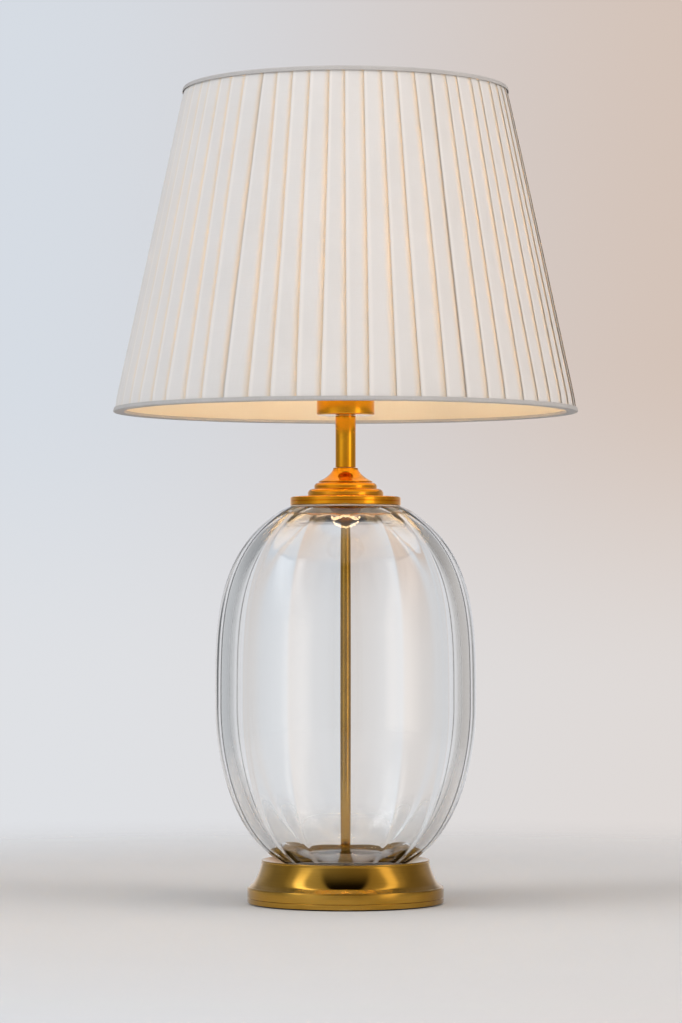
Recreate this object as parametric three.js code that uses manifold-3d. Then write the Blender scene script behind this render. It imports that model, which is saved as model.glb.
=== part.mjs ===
// Table lamp: a weighted metal base, a fluted glass body on a central lamp pipe, a stepped collar
// and stem, an E27 lampholder, and a knife-pleated tapered shade on a six-strut wire frame.
// Millimetres, +Z up. The origin is the centre of the felt pad's underside, and the front is -Y.

import * as THREE from 'three';
import { mergeVertices } from 'three/addons/utils/BufferGeometryUtils.js';
import Module from 'manifold-3d';

const wasm = await Module();
wasm.setup();

// ---------------------------------------------------------------- driving sizes

const CLEARANCE = 0.3; // gap between pieces that touch or slide

// base
const BASE_RADIUS = 75.3;
const BASE_HEIGHT = 33.6;
const SHELL_LIFT = 1.0; // the shell's lower edge above the table
const SHELL_WALL = 1.6;
const BAND_HEIGHT = 11.8; // the upright band round the foot
const LEDGE_WIDTH = 4.3; // from the band in to the flare's foot
const FLARE_FOOT_RISE = 3.0; // the sloping ledge between band and flare
const FLARE_INSET = 6.4; // from the flare's foot in to the rim
const SEAT_MARGIN = 2.1; // the flat seat past the glass's foot
const DISH_SHARE = 0.4; // how far from the glass's foot to the rim the dish follows the glass
const PAD_THICKNESS = 2.0;
const PAD_OVERHANG = 1.0; // the pad's edge past the plate's
const PLATE_THICKNESS = 1.5;
const PLATE_SCREWS = 3;
const PLATE_SCREW_INSET = 16.0; // each screw in from the weight's edge
const PLATE_SCREW_RADIUS = 2.0;
const PLATE_SCREW_HEAD = 3.8;
const PLATE_SCREW_LENGTH = 11.0;
const WEIGHT_WEB = 8.5; // iron left over the nut's recess
const WEIGHT_RECESS_RADIUS = 17.0;
const WEIGHT_GAP = 3.2; // from the plate up to the weight
const SLOT_WIDTH = 26.0;
const SLOT_ROOF = 6.0;

// cord inlet at the back of the band, and the terminal block behind it
const INLET_BORE = 3.1;
const INLET_GROOVE = 3.9;
const INLET_FLANGE = 4.9;
const INLET_LIP = 1.8;
const BLOCK_SIZE = new THREE.Vector3(22, 12, 9);
const BLOCK_INSET = 23.0; // the block's centre in from the weight's edge
const BLOCK_SCREW_BORE = 2.0;
const BLOCK_POLE_SPACING = 10.0;

// lamp pipe and its nuts
const PIPE_RADIUS = 5.0;
const PIPE_WALL = 1.4;
const PIPE_PROUD = 1.5; // pipe showing past each nut
const NUT_WALL = 2.0; // from the pipe to a nut's flats
const NUT_THICKNESS = 3.0;
const WASHER_RADIUS = 12.0;
const WASHER_THICKNESS = 1.5;
const ROD_WALL = 0.7;
const LEAD_RADIUS = 1.0;
const LEAD_SPREAD = 1.7; // each lead's distance from the pipe's axis

// glass body
const GLASS_RADIUS = 100.2;
const GLASS_HEIGHT = 274.1;
const GLASS_WALL = 5.0;
const GLASS_FLOOR = 7.0;
const BELLY_HEIGHT = 120.5; // the widest point above the foot
const SHOULDER_FULLNESS = 3.4;
const SHOULDER_ROUNDNESS = 2.0;
const SHOULDER_END_RADIUS = 44.6;
const FOOT_FULLNESS = 1.83;
const FOOT_ROUNDNESS = 3.0;
const FOOT_END_RADIUS = 44.9;
const MOUTH_RADIUS = 28.0;
const LOBES = 14;
const LOBE_DEPTH = 2.4; // from a lobe's crown down to the crease
const LOBE_FADE = 14.0; // height over which the lobes die out at each end
const GASKET_THICKNESS = 1.5;
const NECK_GASKET_THICKNESS = 0.8;
const NECK_GASKET_WIDTH = 10.0;

// collar and stem
const FLANGE_RADIUS = 42.5;
const FLANGE_THICKNESS = 6.5;
const FLANGE_ROUND = 2.0;
const SPIGOT_LENGTH = 6.0; // the flange's boss inside the glass mouth
const STEP_RADIUS = 29.0;
const STEP_HEIGHT = 5.6;
const UPPER_STEP_RADIUS = 23.0;
const UPPER_STEP_HEIGHT = 4.8;
const CONE_FOOT_RADIUS = 20.7;
const CONE_TOP_RADIUS = 8.7;
const CONE_HEIGHT = 11.1;
const STEM_RADIUS = 7.8;
const STEM_WALL = 1.2;
const STEM_LENGTH = 39.8;

// lampholder
const CUP_RADIUS = 22.15;
const CUP_HEIGHT = 36.0;
const CUP_WALL = 1.2;
const CUP_EDGE_ROUND = 1.2;
const HOLDER_BASE_GAP = 5.0; // wiring room over the pipe's end
const HOLDER_BASE_THICKNESS = 7.0;
const BARREL_PLAY = 0.75; // between the barrel and the cup
const BARREL_HEIGHT = 32.0;
const SHOULDER_RING_PROUD = 1.85; // the shoulder ring past the cup
const SHOULDER_RING_THICKNESS = 2.0;
const SCREW_SHELL_RADIUS = 13.9;
const SCREW_SHELL_WALL = 0.4;
const SCREW_SHELL_HEIGHT = 21.0;
const TERMINAL_SPREAD = 9.0; // each holder terminal's distance from the axis
const TERMINAL_SCREW_RADIUS = 1.7;
const TERMINAL_HEAD_RADIUS = 2.8;
const TERMINAL_HEAD_HEIGHT = 1.3;
const CONTACT_TRAVEL = 1.5;
const CONTACT_THICKNESS = 0.6;
const CONTACT_DOME = 2.0;
const CONTACT_WIDTH = 6.0;
const STRIP_THICKNESS = 0.5;
const STRIP_WIDTH = 5.0;
const CLAMP_RING_WIDTH = 6.5;
const CLAMP_RING_HEIGHT = 6.0;
const CLAMP_RIB = 0.7;

// bulb
const BULB_RADIUS = 30.0;
const BULB_LENGTH = 105.0;
const BULB_WALL = 1.0;
const BULB_NECK_RADIUS = 12.2;
const CAP_RADIUS = 13.2;
const CAP_WALL = 0.5;
const CAP_HEIGHT = 22.0;
const TIP_RADIUS = 4.8;
const TIP_HEIGHT = 1.5;
const INSULATOR_HEIGHT = 3.7;

// shade: all of its layers are set in from one outer cone
const FITTER_RECESS = 36.6; // the fitter ring above the shade's lower edge
const SHADE_HEIGHT = 248.0;
const SHADE_BOTTOM_RADIUS = 178.0;
const SHADE_TOP_RADIUS = 124.5;
const BINDING_THICKNESS = 0.5;
const BINDING_DEPTH = 5.0;
const COVER_THICKNESS = 2.4;
const WIRE_RADIUS = 1.5;
const STRUT_RADIUS = 1.25;
const STRUTS = 6;
const ARMS = 3;
const LINING_THICKNESS = 0.8;
const LINING_GAP = 0.55; // between the wires and the lining
const FITTER_THICKNESS = 1.5;

// how finely round pieces are cut into facets
const SMALL_ROUND = 16;
const MEDIUM_ROUND = 24;
const LARGE_ROUND = 36;
const CURVE_STEPS = 3;
const WIRE_STEPS = 3; // half of the facets round a bent wire

// One end of the glass's outline: a rounded power curve from the belly to the end radius.
function endCurve(span, endRadius, fullness, roundness) {
  const shareAt = (radius) => (1 - (radius / GLASS_RADIUS) ** roundness) ** (1 / fullness);
  const endShare = shareAt(endRadius);
  return {
    distanceAt: (radius) => (span * shareAt(radius)) / endShare,
    radiusAt: (distance) =>
      GLASS_RADIUS * (1 - ((distance / span) * endShare) ** fullness) ** (1 / roundness),
  };
}

// ---------------------------------------------------------------- places worked out from the sizes

const FIT_BORE = PIPE_RADIUS + CLEARANCE;
const PIPE_BORE = PIPE_RADIUS - PIPE_WALL;
const ROD_RADIUS = FIT_BORE + ROD_WALL;
const FLARE_FOOT_RADIUS = BASE_RADIUS - LEDGE_WIDTH;
const RIM_RADIUS = FLARE_FOOT_RADIUS - FLARE_INSET;
const SEAT_RADIUS = FOOT_END_RADIUS + SEAT_MARGIN;
const WEIGHT_RADIUS = RIM_RADIUS - SHELL_WALL - 2;
const PLATE_SCREW_CIRCLE = WEIGHT_RADIUS - PLATE_SCREW_INSET;
const BLOCK_SETBACK = WEIGHT_RADIUS - BLOCK_INSET;
const BARREL_RADIUS = CUP_RADIUS - CUP_WALL - BARREL_PLAY;
const CLAMP_BORE = BARREL_RADIUS + CLEARANCE;
const FITTER_RADIUS = CLAMP_BORE + CLAMP_RING_WIDTH; // the same as the clamp ring's

const bandTop = SHELL_LIFT + BAND_HEIGHT;
const plateBottom = PAD_THICKNESS + CLEARANCE;
const plateTop = plateBottom + PLATE_THICKNESS;
const weightBottom = plateTop + WEIGHT_GAP;
const footCurve = endCurve(BELLY_HEIGHT, FOOT_END_RADIUS, FOOT_FULLNESS, FOOT_ROUNDNESS);
const shoulderCurve = endCurve(
  GLASS_HEIGHT - BELLY_HEIGHT, SHOULDER_END_RADIUS, SHOULDER_FULLNESS, SHOULDER_ROUNDNESS);
const dishFollows = THREE.MathUtils.lerp(FOOT_END_RADIUS, RIM_RADIUS, DISH_SHARE);
const rimRise = BELLY_HEIGHT - footCurve.distanceAt(dishFollows);
const seatTop = BASE_HEIGHT - rimRise - GASKET_THICKNESS - 2 * CLEARANCE;
const weightTop = seatTop - SHELL_WALL - CLEARANCE;
const recessRoof = weightTop - WEIGHT_WEB;
const washerBottom = recessRoof - CLEARANCE - WASHER_THICKNESS;
const lowerNutBottom = washerBottom - CLEARANCE - NUT_THICKNESS;
const pipeBottom = lowerNutBottom - PIPE_PROUD;

const gasketBottom = seatTop + CLEARANCE;
const glassFoot = gasketBottom + GASKET_THICKNESS + CLEARANCE;
const glassTop = glassFoot + GLASS_HEIGHT;
const neckGasketBottom = glassTop + CLEARANCE;
const flangeBottom = neckGasketBottom + NECK_GASKET_THICKNESS + CLEARANCE;
const stepBottom = flangeBottom + FLANGE_THICKNESS + CLEARANCE;
const coneBottom = stepBottom + STEP_HEIGHT + UPPER_STEP_HEIGHT + CLEARANCE;
const stemBottom = coneBottom + CONE_HEIGHT + CLEARANCE;
const cupBottom = stemBottom + STEM_LENGTH + CLEARANCE;
const cupTop = cupBottom + CUP_HEIGHT;
const upperNutBottom = cupBottom + CUP_WALL + CLEARANCE;
const pipeTop = upperNutBottom + NUT_THICKNESS + PIPE_PROUD;

const holderBaseBottom = pipeTop + HOLDER_BASE_GAP;
const holderBaseTop = holderBaseBottom + HOLDER_BASE_THICKNESS;
const barrelBottom = holderBaseTop + CLEARANCE;
const barrelTop = barrelBottom + BARREL_HEIGHT;
const screwShellBottom = barrelTop - 1 - SCREW_SHELL_HEIGHT;
const shoulderRingBottom = cupTop + CLEARANCE;
const fitterBottom = shoulderRingBottom + SHOULDER_RING_THICKNESS + CLEARANCE;
const fitterTop = fitterBottom + FITTER_THICKNESS;
const clampBottom = fitterTop + CLEARANCE;
const contactBottom = holderBaseTop + CLEARANCE + CONTACT_TRAVEL;
const contactTop = contactBottom + CONTACT_THICKNESS + CONTACT_DOME;
const bulbBottom = contactTop + CLEARANCE;
const insulatorBottom = bulbBottom + TIP_HEIGHT + CLEARANCE;
const capBottom = insulatorBottom + INSULATOR_HEIGHT + CLEARANCE;

const shadeBottom = fitterBottom - FITTER_RECESS;
const shadeTop = shadeBottom + SHADE_HEIGHT;
const coverInset = BINDING_THICKNESS + CLEARANCE;
const wireInset = coverInset + COVER_THICKNESS + CLEARANCE + WIRE_RADIUS;
const liningInset = wireInset + WIRE_RADIUS + LINING_GAP;
const innerLegInset = liningInset + LINING_THICKNESS + CLEARANCE;
const fabricBottom = shadeBottom + BINDING_THICKNESS + CLEARANCE;
const fabricTop = shadeTop - BINDING_THICKNESS - CLEARANCE;
const lowerWireHeight = fabricBottom + WIRE_RADIUS;
const upperWireHeight = fabricTop - WIRE_RADIUS;

// ---------------------------------------------------------------- finishes

const FINISHES = {
  antiqueGold: { color: 0xa9822f, roughness: 0.34, metalness: 1 },
  brightGold: { color: 0xd99a2b, roughness: 0.3, metalness: 1 },
  glass: { color: 0xf2f6f7, roughness: 0.02, metalness: 0, transparent: true, opacity: 0.3 },
  felt: { color: 0x2b2a29, roughness: 0.95, metalness: 0 },
  zincSteel: { color: 0xa7a9ac, roughness: 0.4, metalness: 1 },
  castIron: { color: 0x3b3a3a, roughness: 0.75, metalness: 0.6 },
  clearRubber: { color: 0xd8d6cf, roughness: 0.6, metalness: 0 },
  blackRubber: { color: 0x1f1e1d, roughness: 0.8, metalness: 0 },
  whitePlastic: { color: 0xe8e4da, roughness: 0.5, metalness: 0 },
  blackPlastic: { color: 0x1c1b1a, roughness: 0.4, metalness: 0 },
  brass: { color: 0xc7a14a, roughness: 0.35, metalness: 1 },
  brownWire: { color: 0x5b3419, roughness: 0.55, metalness: 0 },
  blueWire: { color: 0x25508f, roughness: 0.55, metalness: 0 },
  whiteWireCoat: { color: 0xeceae4, roughness: 0.45, metalness: 0.1 },
  pleatedFabric: { color: 0xe6e0d8, roughness: 0.9, metalness: 0 },
  lining: { color: 0xf0e3c6, roughness: 0.85, metalness: 0 },
  binding: { color: 0xdcd7d0, roughness: 0.9, metalness: 0 },
  opalGlass: { color: 0xfff3da, roughness: 0.3, metalness: 0 },
  nickel: { color: 0xb9b7b0, roughness: 0.3, metalness: 1 },
};

// ---------------------------------------------------------------- shape helpers

// Counter-clockwise closed outlines turn into solids whose faces point out.
function signedArea(points) {
  let doubled = 0;
  points.forEach((p, i) => {
    const q = points[(i + 1) % points.length];
    doubled += p.x * q.y - q.x * p.y;
  });
  return doubled / 2;
}

// Keeps positions only, joins shared corners and drops facets with no area at the poles.
function welded(geometry) {
  const bare = geometry.clone();
  bare.deleteAttribute('normal');
  bare.deleteAttribute('uv');
  const merged = mergeVertices(bare, 1e-4);
  const index = merged.getIndex().array;
  const kept = [];
  for (let i = 0; i < index.length; i += 3) {
    const [a, b, c] = [index[i], index[i + 1], index[i + 2]];
    if (a !== b && b !== c && c !== a) kept.push(a, b, c);
  }
  merged.setIndex(kept);
  return merged;
}

// A solid of revolution about +Z from points (radius, height).
function turned(profile, segments) {
  const points = profile.map((p) => (p.isVector2 ? p : new THREE.Vector2(...p)));
  if (signedArea(points) < 0) points.reverse();
  const onAxis = points.findIndex((p, i) => p.x === 0 && points[(i + 1) % points.length].x === 0);
  if (onAxis >= 0) points.push(...points.splice(0, onAxis + 1));
  else points.push(points[0].clone());
  return new THREE.LatheGeometry(points, segments).rotateX(Math.PI / 2);
}

// An outline drawn with straight and curved strokes.
function drawn(strokes, steps = CURVE_STEPS) {
  const path = new THREE.Path();
  strokes(path);
  return path.getPoints(steps);
}

// A turned ring of rectangular section.
function ring(inner, outer, bottom, top, segments) {
  const profile = [[inner, bottom], [outer, bottom], [outer, top], [inner, top]];
  return turned(profile, segments);
}

// A turned ring of round section, as bent wire.
function wireRing(radius, height, wire, segments) {
  const section = drawn((path) => path.absarc(radius, height, wire, 0, 2 * Math.PI), WIRE_STEPS);
  return turned(section.slice(0, -1), segments);
}

function cylinder(radius, bottom, top, segments) {
  const height = top - bottom;
  const geometry = new THREE.CylinderGeometry(radius, radius, height, segments);
  return geometry.rotateX(Math.PI / 2).translate(0, 0, (bottom + top) / 2);
}

function box(size, x, y, bottom) {
  return new THREE.BoxGeometry(size.x, size.y, size.z).translate(x, y, bottom + size.z / 2);
}

// A flat outline in x and z, given its width along y.
function pressed(points, width) {
  const shape = new THREE.Shape(points.map((p) => new THREE.Vector2(...p)));
  const geometry = new THREE.ExtrudeGeometry(shape, { depth: width, bevelEnabled: false });
  return geometry.rotateX(Math.PI / 2).translate(0, width / 2, 0);
}

function solidOf(geometry) {
  const source = welded(geometry);
  const vertProperties = new Float32Array(source.getAttribute('position').array);
  const triVerts = new Uint32Array(source.getIndex().array);
  return new wasm.Manifold(new wasm.Mesh({ numProp: 3, vertProperties, triVerts }));
}

function geometryOf(solid) {
  const mesh = solid.getMesh();
  const geometry = new THREE.BufferGeometry();
  geometry.setAttribute('position', new THREE.BufferAttribute(mesh.vertProperties, 3));
  geometry.setIndex(new THREE.BufferAttribute(mesh.triVerts, 1));
  return geometry;
}

function cut(body, ...tools) {
  return geometryOf(tools.reduce((left, tool) => left.subtract(solidOf(tool)), solidOf(body)));
}

const atAngle = (radius, angle, height) =>
  new THREE.Vector3(radius * Math.cos(angle), radius * Math.sin(angle), height);

// ---------------------------------------------------------------- the scene graph

const lamp = new THREE.Group();

function add(name, geometry, finish, parent = lamp) {
  const mesh = new THREE.Mesh(welded(geometry), new THREE.MeshStandardMaterial(FINISHES[finish]));
  mesh.name = name;
  parent.add(mesh);
  return mesh;
}

// A straight wire between two points.
function addWire(name, from, to, radius, finish, parent) {
  const along = to.clone().sub(from);
  const mesh = add(name, new THREE.CylinderGeometry(radius, radius, along.length(), 8), finish, parent);
  mesh.position.copy(from).addScaledVector(along, 0.5);
  mesh.quaternion.setFromUnitVectors(new THREE.Vector3(0, 1, 0), along.normalize());
  return mesh;
}

// ---------------------------------------------------------------- base

const bandInner = BASE_RADIUS - SHELL_WALL;
const inletHeight = (SHELL_LIFT + bandTop) / 2 + 0.7;
const inletInnerFace = Math.sqrt(bandInner ** 2 - INLET_FLANGE ** 2) * Math.cos(Math.PI / LARGE_ROUND)
  - CLEARANCE;
const inletOuterFace = BASE_RADIUS + CLEARANCE;
const plateRadius = inletInnerFace - INLET_LIP - CLEARANCE;

function shellProfile() {
  const flareFoot = bandTop + FLARE_FOOT_RISE;
  const flareMiddle = RIM_RADIUS + 2;
  const dishMiddle = (SEAT_RADIUS + RIM_RADIUS) / 2;
  const dishRise = BASE_HEIGHT - 1.5;
  const rimInside = BASE_HEIGHT - 1.2 * SHELL_WALL;
  return drawn((path) => {
    path.moveTo(BASE_RADIUS, SHELL_LIFT);
    path.lineTo(BASE_RADIUS, bandTop - 1);
    path.quadraticCurveTo(BASE_RADIUS, bandTop, BASE_RADIUS - 1, bandTop + 0.6);
    path.lineTo(FLARE_FOOT_RADIUS, flareFoot);
    path.quadraticCurveTo(flareMiddle, flareFoot + 6, RIM_RADIUS, BASE_HEIGHT - 0.8);
    path.quadraticCurveTo(RIM_RADIUS, BASE_HEIGHT, RIM_RADIUS - 1.2, BASE_HEIGHT);
    path.quadraticCurveTo(dishMiddle, dishRise, SEAT_RADIUS, seatTop);
    path.lineTo(FIT_BORE, seatTop);
    path.lineTo(FIT_BORE, seatTop - SHELL_WALL);
    path.lineTo(SEAT_RADIUS, seatTop - SHELL_WALL);
    path.quadraticCurveTo(dishMiddle, dishRise - SHELL_WALL, RIM_RADIUS - SHELL_WALL, rimInside);
    path.quadraticCurveTo(flareMiddle - SHELL_WALL, flareFoot + 6, FLARE_FOOT_RADIUS - SHELL_WALL, flareFoot);
    path.lineTo(BASE_RADIUS - SHELL_WALL, bandTop - 1);
    path.lineTo(BASE_RADIUS - SHELL_WALL, SHELL_LIFT);
  });
}

function inletHole(radius) {
  const hole = cylinder(radius, bandInner - 5, BASE_RADIUS + 5, SMALL_ROUND);
  return hole.rotateX(-Math.PI / 2).translate(0, 0, inletHeight);
}

function screwAngle(i) {
  return Math.PI / 6 + (i * 2 * Math.PI) / PLATE_SCREWS;
}

function plateScrewHoles(profile) {
  return Array.from({ length: PLATE_SCREWS }, (_, i) => {
    const at = atAngle(PLATE_SCREW_CIRCLE, screwAngle(i), 0);
    return turned(profile, SMALL_ROUND).translate(at.x, at.y, 0);
  });
}

function addBase() {
  const shell = turned(shellProfile(), LARGE_ROUND);
  add('base_shell', cut(shell, inletHole(INLET_GROOVE + CLEARANCE)), 'antiqueGold');

  add('felt_pad', cylinder(plateRadius + PAD_OVERHANG, 0, PAD_THICKNESS, LARGE_ROUND), 'felt');

  const screwGap = PLATE_SCREW_RADIUS + CLEARANCE;
  const headGap = PLATE_SCREW_HEAD + 2 * CLEARANCE;
  const countersink = [
    [0, plateBottom - 1],
    [headGap, plateBottom - 1],
    [headGap, plateBottom],
    [screwGap, plateTop],
    [screwGap, plateTop + 1],
    [0, plateTop + 1],
  ];
  const plate = cylinder(plateRadius, plateBottom, plateTop, LARGE_ROUND);
  add('bottom_plate', cut(plate, ...plateScrewHoles(countersink)), 'zincSteel');

  const screwTop = plateBottom + PLATE_SCREW_LENGTH;
  const screw = [
    [0, plateBottom],
    [PLATE_SCREW_HEAD, plateBottom],
    [PLATE_SCREW_RADIUS, plateTop],
    [PLATE_SCREW_RADIUS, screwTop],
    [0, screwTop],
  ];
  for (let i = 0; i < PLATE_SCREWS; i += 1) {
    const at = atAngle(PLATE_SCREW_CIRCLE, screwAngle(i), 0);
    add(`plate_screw_${i + 1}`, turned(screw, 12), 'zincSteel').position.copy(at);
  }

  const tapped = [
    [0, weightBottom - 1],
    [screwGap, weightBottom - 1],
    [screwGap, screwTop + 1],
    [0, screwTop + 1],
  ];
  const weight = ring(FIT_BORE, WEIGHT_RADIUS, weightBottom, weightTop, LARGE_ROUND);
  const recess = cylinder(WEIGHT_RECESS_RADIUS, weightBottom - 1, recessRoof, MEDIUM_ROUND);
  const slotSize = new THREE.Vector3(SLOT_WIDTH, RIM_RADIUS, weightTop - SLOT_ROOF - weightBottom + 1);
  const slot = box(slotSize, 0, RIM_RADIUS / 2, weightBottom - 1);
  add('base_weight', cut(weight, recess, slot, ...plateScrewHoles(tapped)), 'castIron');

  const grommet = [
    [INLET_BORE, inletInnerFace - INLET_LIP],
    [INLET_FLANGE, inletInnerFace - INLET_LIP],
    [INLET_FLANGE, inletInnerFace],
    [INLET_GROOVE, inletInnerFace],
    [INLET_GROOVE, inletOuterFace],
    [INLET_FLANGE, inletOuterFace],
    [INLET_FLANGE - 0.6, inletOuterFace + INLET_LIP],
    [INLET_BORE, inletOuterFace + INLET_LIP],
  ];
  const inlet = turned(grommet, SMALL_ROUND).rotateX(-Math.PI / 2);
  add('cord_inlet_grommet', inlet, 'blackRubber').position.set(0, 0, inletHeight);

  const blockBottom = weightBottom + 2;
  const block = box(BLOCK_SIZE, 0, BLOCK_SETBACK, blockBottom);
  const screwBores = [-1, 1].map((side) => {
    const bore = cylinder(BLOCK_SCREW_BORE, blockBottom - 1, blockBottom + 5, 12);
    return bore.translate((side * BLOCK_POLE_SPACING) / 2, BLOCK_SETBACK, 0);
  });
  add('terminal_block', cut(block, ...screwBores), 'whitePlastic');
}

// ---------------------------------------------------------------- pipe, nuts and inner leads

function hexNut(bottom) {
  const corner = (2 * (PIPE_RADIUS + NUT_WALL)) / Math.sqrt(3);
  const nut = new THREE.CylinderGeometry(corner, corner, NUT_THICKNESS, 6);
  nut.rotateX(Math.PI / 2).translate(0, 0, bottom + NUT_THICKNESS / 2);
  return cut(nut, cylinder(FIT_BORE, bottom - 1, bottom + NUT_THICKNESS + 1, MEDIUM_ROUND));
}

// A smooth route whose steps are shared out evenly between its guide points, so that a short
// bend is cut as finely as the long run beside it.
class GuidedRoute extends THREE.CatmullRomCurve3 {
  getUtoTmapping(share) {
    return share;
  }
}

// One insulated lead from the terminal block, up the pipe's bore, to a holder terminal.
function addLead(name, side, finish) {
  const blockFace = BLOCK_SETBACK - BLOCK_SIZE.y / 2 - CLEARANCE;
  const blockMiddle = weightBottom + 2 + BLOCK_SIZE.z / 2;
  const pole = (side * BLOCK_POLE_SPACING) / 2;
  const bore = side * LEAD_SPREAD;
  const headBottom = holderBaseBottom - CLEARANCE - TERMINAL_HEAD_HEIGHT;
  const leadEnd = headBottom - CLEARANCE - LEAD_RADIUS;
  const points = [
    [pole, blockFace, blockMiddle],
    [pole, blockFace - 6, blockMiddle - 2],
    [side * 3, 12, pipeBottom - 3.6],
    [side * 2, 3.5, pipeBottom - 3.4],
    [bore, 0, pipeBottom - 1],
    [bore, 0, pipeBottom + 3],
    [bore, 0, pipeTop - 3],
    [bore, 0, pipeTop + 0.5],
    [bore + side * 2.4, 0, leadEnd],
    [side * (TERMINAL_SPREAD + 1), 0, leadEnd],
  ].map((p) => new THREE.Vector3(...p));
  const section = new THREE.Shape();
  section.absarc(0, 0, LEAD_RADIUS, 0, 2 * Math.PI);
  const extrudePath = new GuidedRoute(points, false, 'centripetal');
  const steps = 5 * (points.length - 1);
  const options = { steps, extrudePath, curveSegments: WIRE_STEPS, bevelEnabled: false };
  add(name, new THREE.ExtrudeGeometry(section, options), finish);
}

function addPipe() {
  add('lamp_pipe', ring(PIPE_BORE, PIPE_RADIUS, pipeBottom, pipeTop, MEDIUM_ROUND), 'zincSteel');
  add('lower_nut', hexNut(lowerNutBottom), 'zincSteel');
  const washerTop = washerBottom + WASHER_THICKNESS;
  add('lower_washer', ring(FIT_BORE, WASHER_RADIUS, washerBottom, washerTop, MEDIUM_ROUND), 'zincSteel');
  add('upper_nut', hexNut(upperNutBottom), 'zincSteel');
  addLead('live_lead', -1, 'brownWire');
  addLead('neutral_lead', 1, 'blueWire');
}

// ---------------------------------------------------------------- glass body

function glassOutline(steps) {
  const points = [];
  for (let i = -steps; i <= steps; i += 1) {
    const curve = i < 0 ? footCurve : shoulderCurve;
    const span = i < 0 ? BELLY_HEIGHT : GLASS_HEIGHT - BELLY_HEIGHT;
    const distance = span * Math.sin((Math.abs(i) / steps) * (Math.PI / 2));
    const height = glassFoot + BELLY_HEIGHT + Math.sign(i) * distance;
    points.push(new THREE.Vector2(curve.radiusAt(distance), height));
  }
  return points;
}

// The inside wall: the outline moved in by the wall, kept between the floor and the mouth.
function glassInside(outline) {
  const inside = outline.slice(1, -1).map((p, i) => {
    const along = outline[i + 2].clone().sub(outline[i]).normalize();
    return new THREE.Vector2(p.x - along.y * GLASS_WALL, p.y + along.x * GLASS_WALL);
  });
  const floor = glassFoot + GLASS_FLOOR;
  return inside.filter((p) => p.y > floor + 1 && p.y < glassTop - GLASS_WALL - 1 && p.x > MOUTH_RADIUS + 1);
}

function addGlass() {
  const outline = glassOutline(6);
  const inside = glassInside(outline).reverse();
  const floor = glassFoot + GLASS_FLOOR;
  const bore = ROD_RADIUS + 1;
  const profile = [
    new THREE.Vector2(bore, glassFoot),
    ...outline,
    new THREE.Vector2(MOUTH_RADIUS, glassTop),
    new THREE.Vector2(MOUTH_RADIUS, glassTop - GLASS_WALL),
    ...inside,
    new THREE.Vector2(FOOT_END_RADIUS, floor),
    new THREE.Vector2(bore, floor),
  ];
  const segments = LOBES * 4;
  const body = turned(profile, segments);
  const position = body.getAttribute('position');
  const rings = profile.length + 1;
  const firstInside = outline.length + 3;
  for (let i = 0; i < position.count; i += 1) {
    const [x, y, z] = [position.getX(i), position.getY(i), position.getZ(i)];
    const radius = Math.hypot(x, y);
    const fromFront = Math.atan2(x, -y);
    const fromEnd = Math.min(z - glassFoot, glassTop - z);
    const fade = THREE.MathUtils.smoothstep(fromEnd, 0, LOBE_FADE);
    const share = i % rings >= firstInside ? 0.5 : 1;
    const crease = 1 - Math.abs(Math.sin((LOBES / 2) * fromFront));
    const pressedIn = radius > FOOT_END_RADIUS ? LOBE_DEPTH * fade * share * crease : 0;
    const scale = (radius - pressedIn) / radius;
    position.setXY(i, x * scale, y * scale);
  }
  add('glass_body', body, 'glass');

  const gasketTop = gasketBottom + GASKET_THICKNESS;
  const seat = ring(FIT_BORE + 2, FOOT_END_RADIUS - 3, gasketBottom, gasketTop, MEDIUM_ROUND);
  add('seat_gasket', seat, 'clearRubber');
  const neckInner = MOUTH_RADIUS + 2;
  const neckTop = neckGasketBottom + NECK_GASKET_THICKNESS;
  const neck = ring(neckInner, neckInner + NECK_GASKET_WIDTH, neckGasketBottom, neckTop, MEDIUM_ROUND);
  add('neck_gasket', neck, 'clearRubber');

  const rodBottom = seatTop + CLEARANCE;
  const rodTop = flangeBottom - SPIGOT_LENGTH - CLEARANCE;
  add('centre_rod', ring(FIT_BORE, ROD_RADIUS, rodBottom, rodTop, MEDIUM_ROUND), 'brightGold');
}

// ---------------------------------------------------------------- collar and stem

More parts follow.
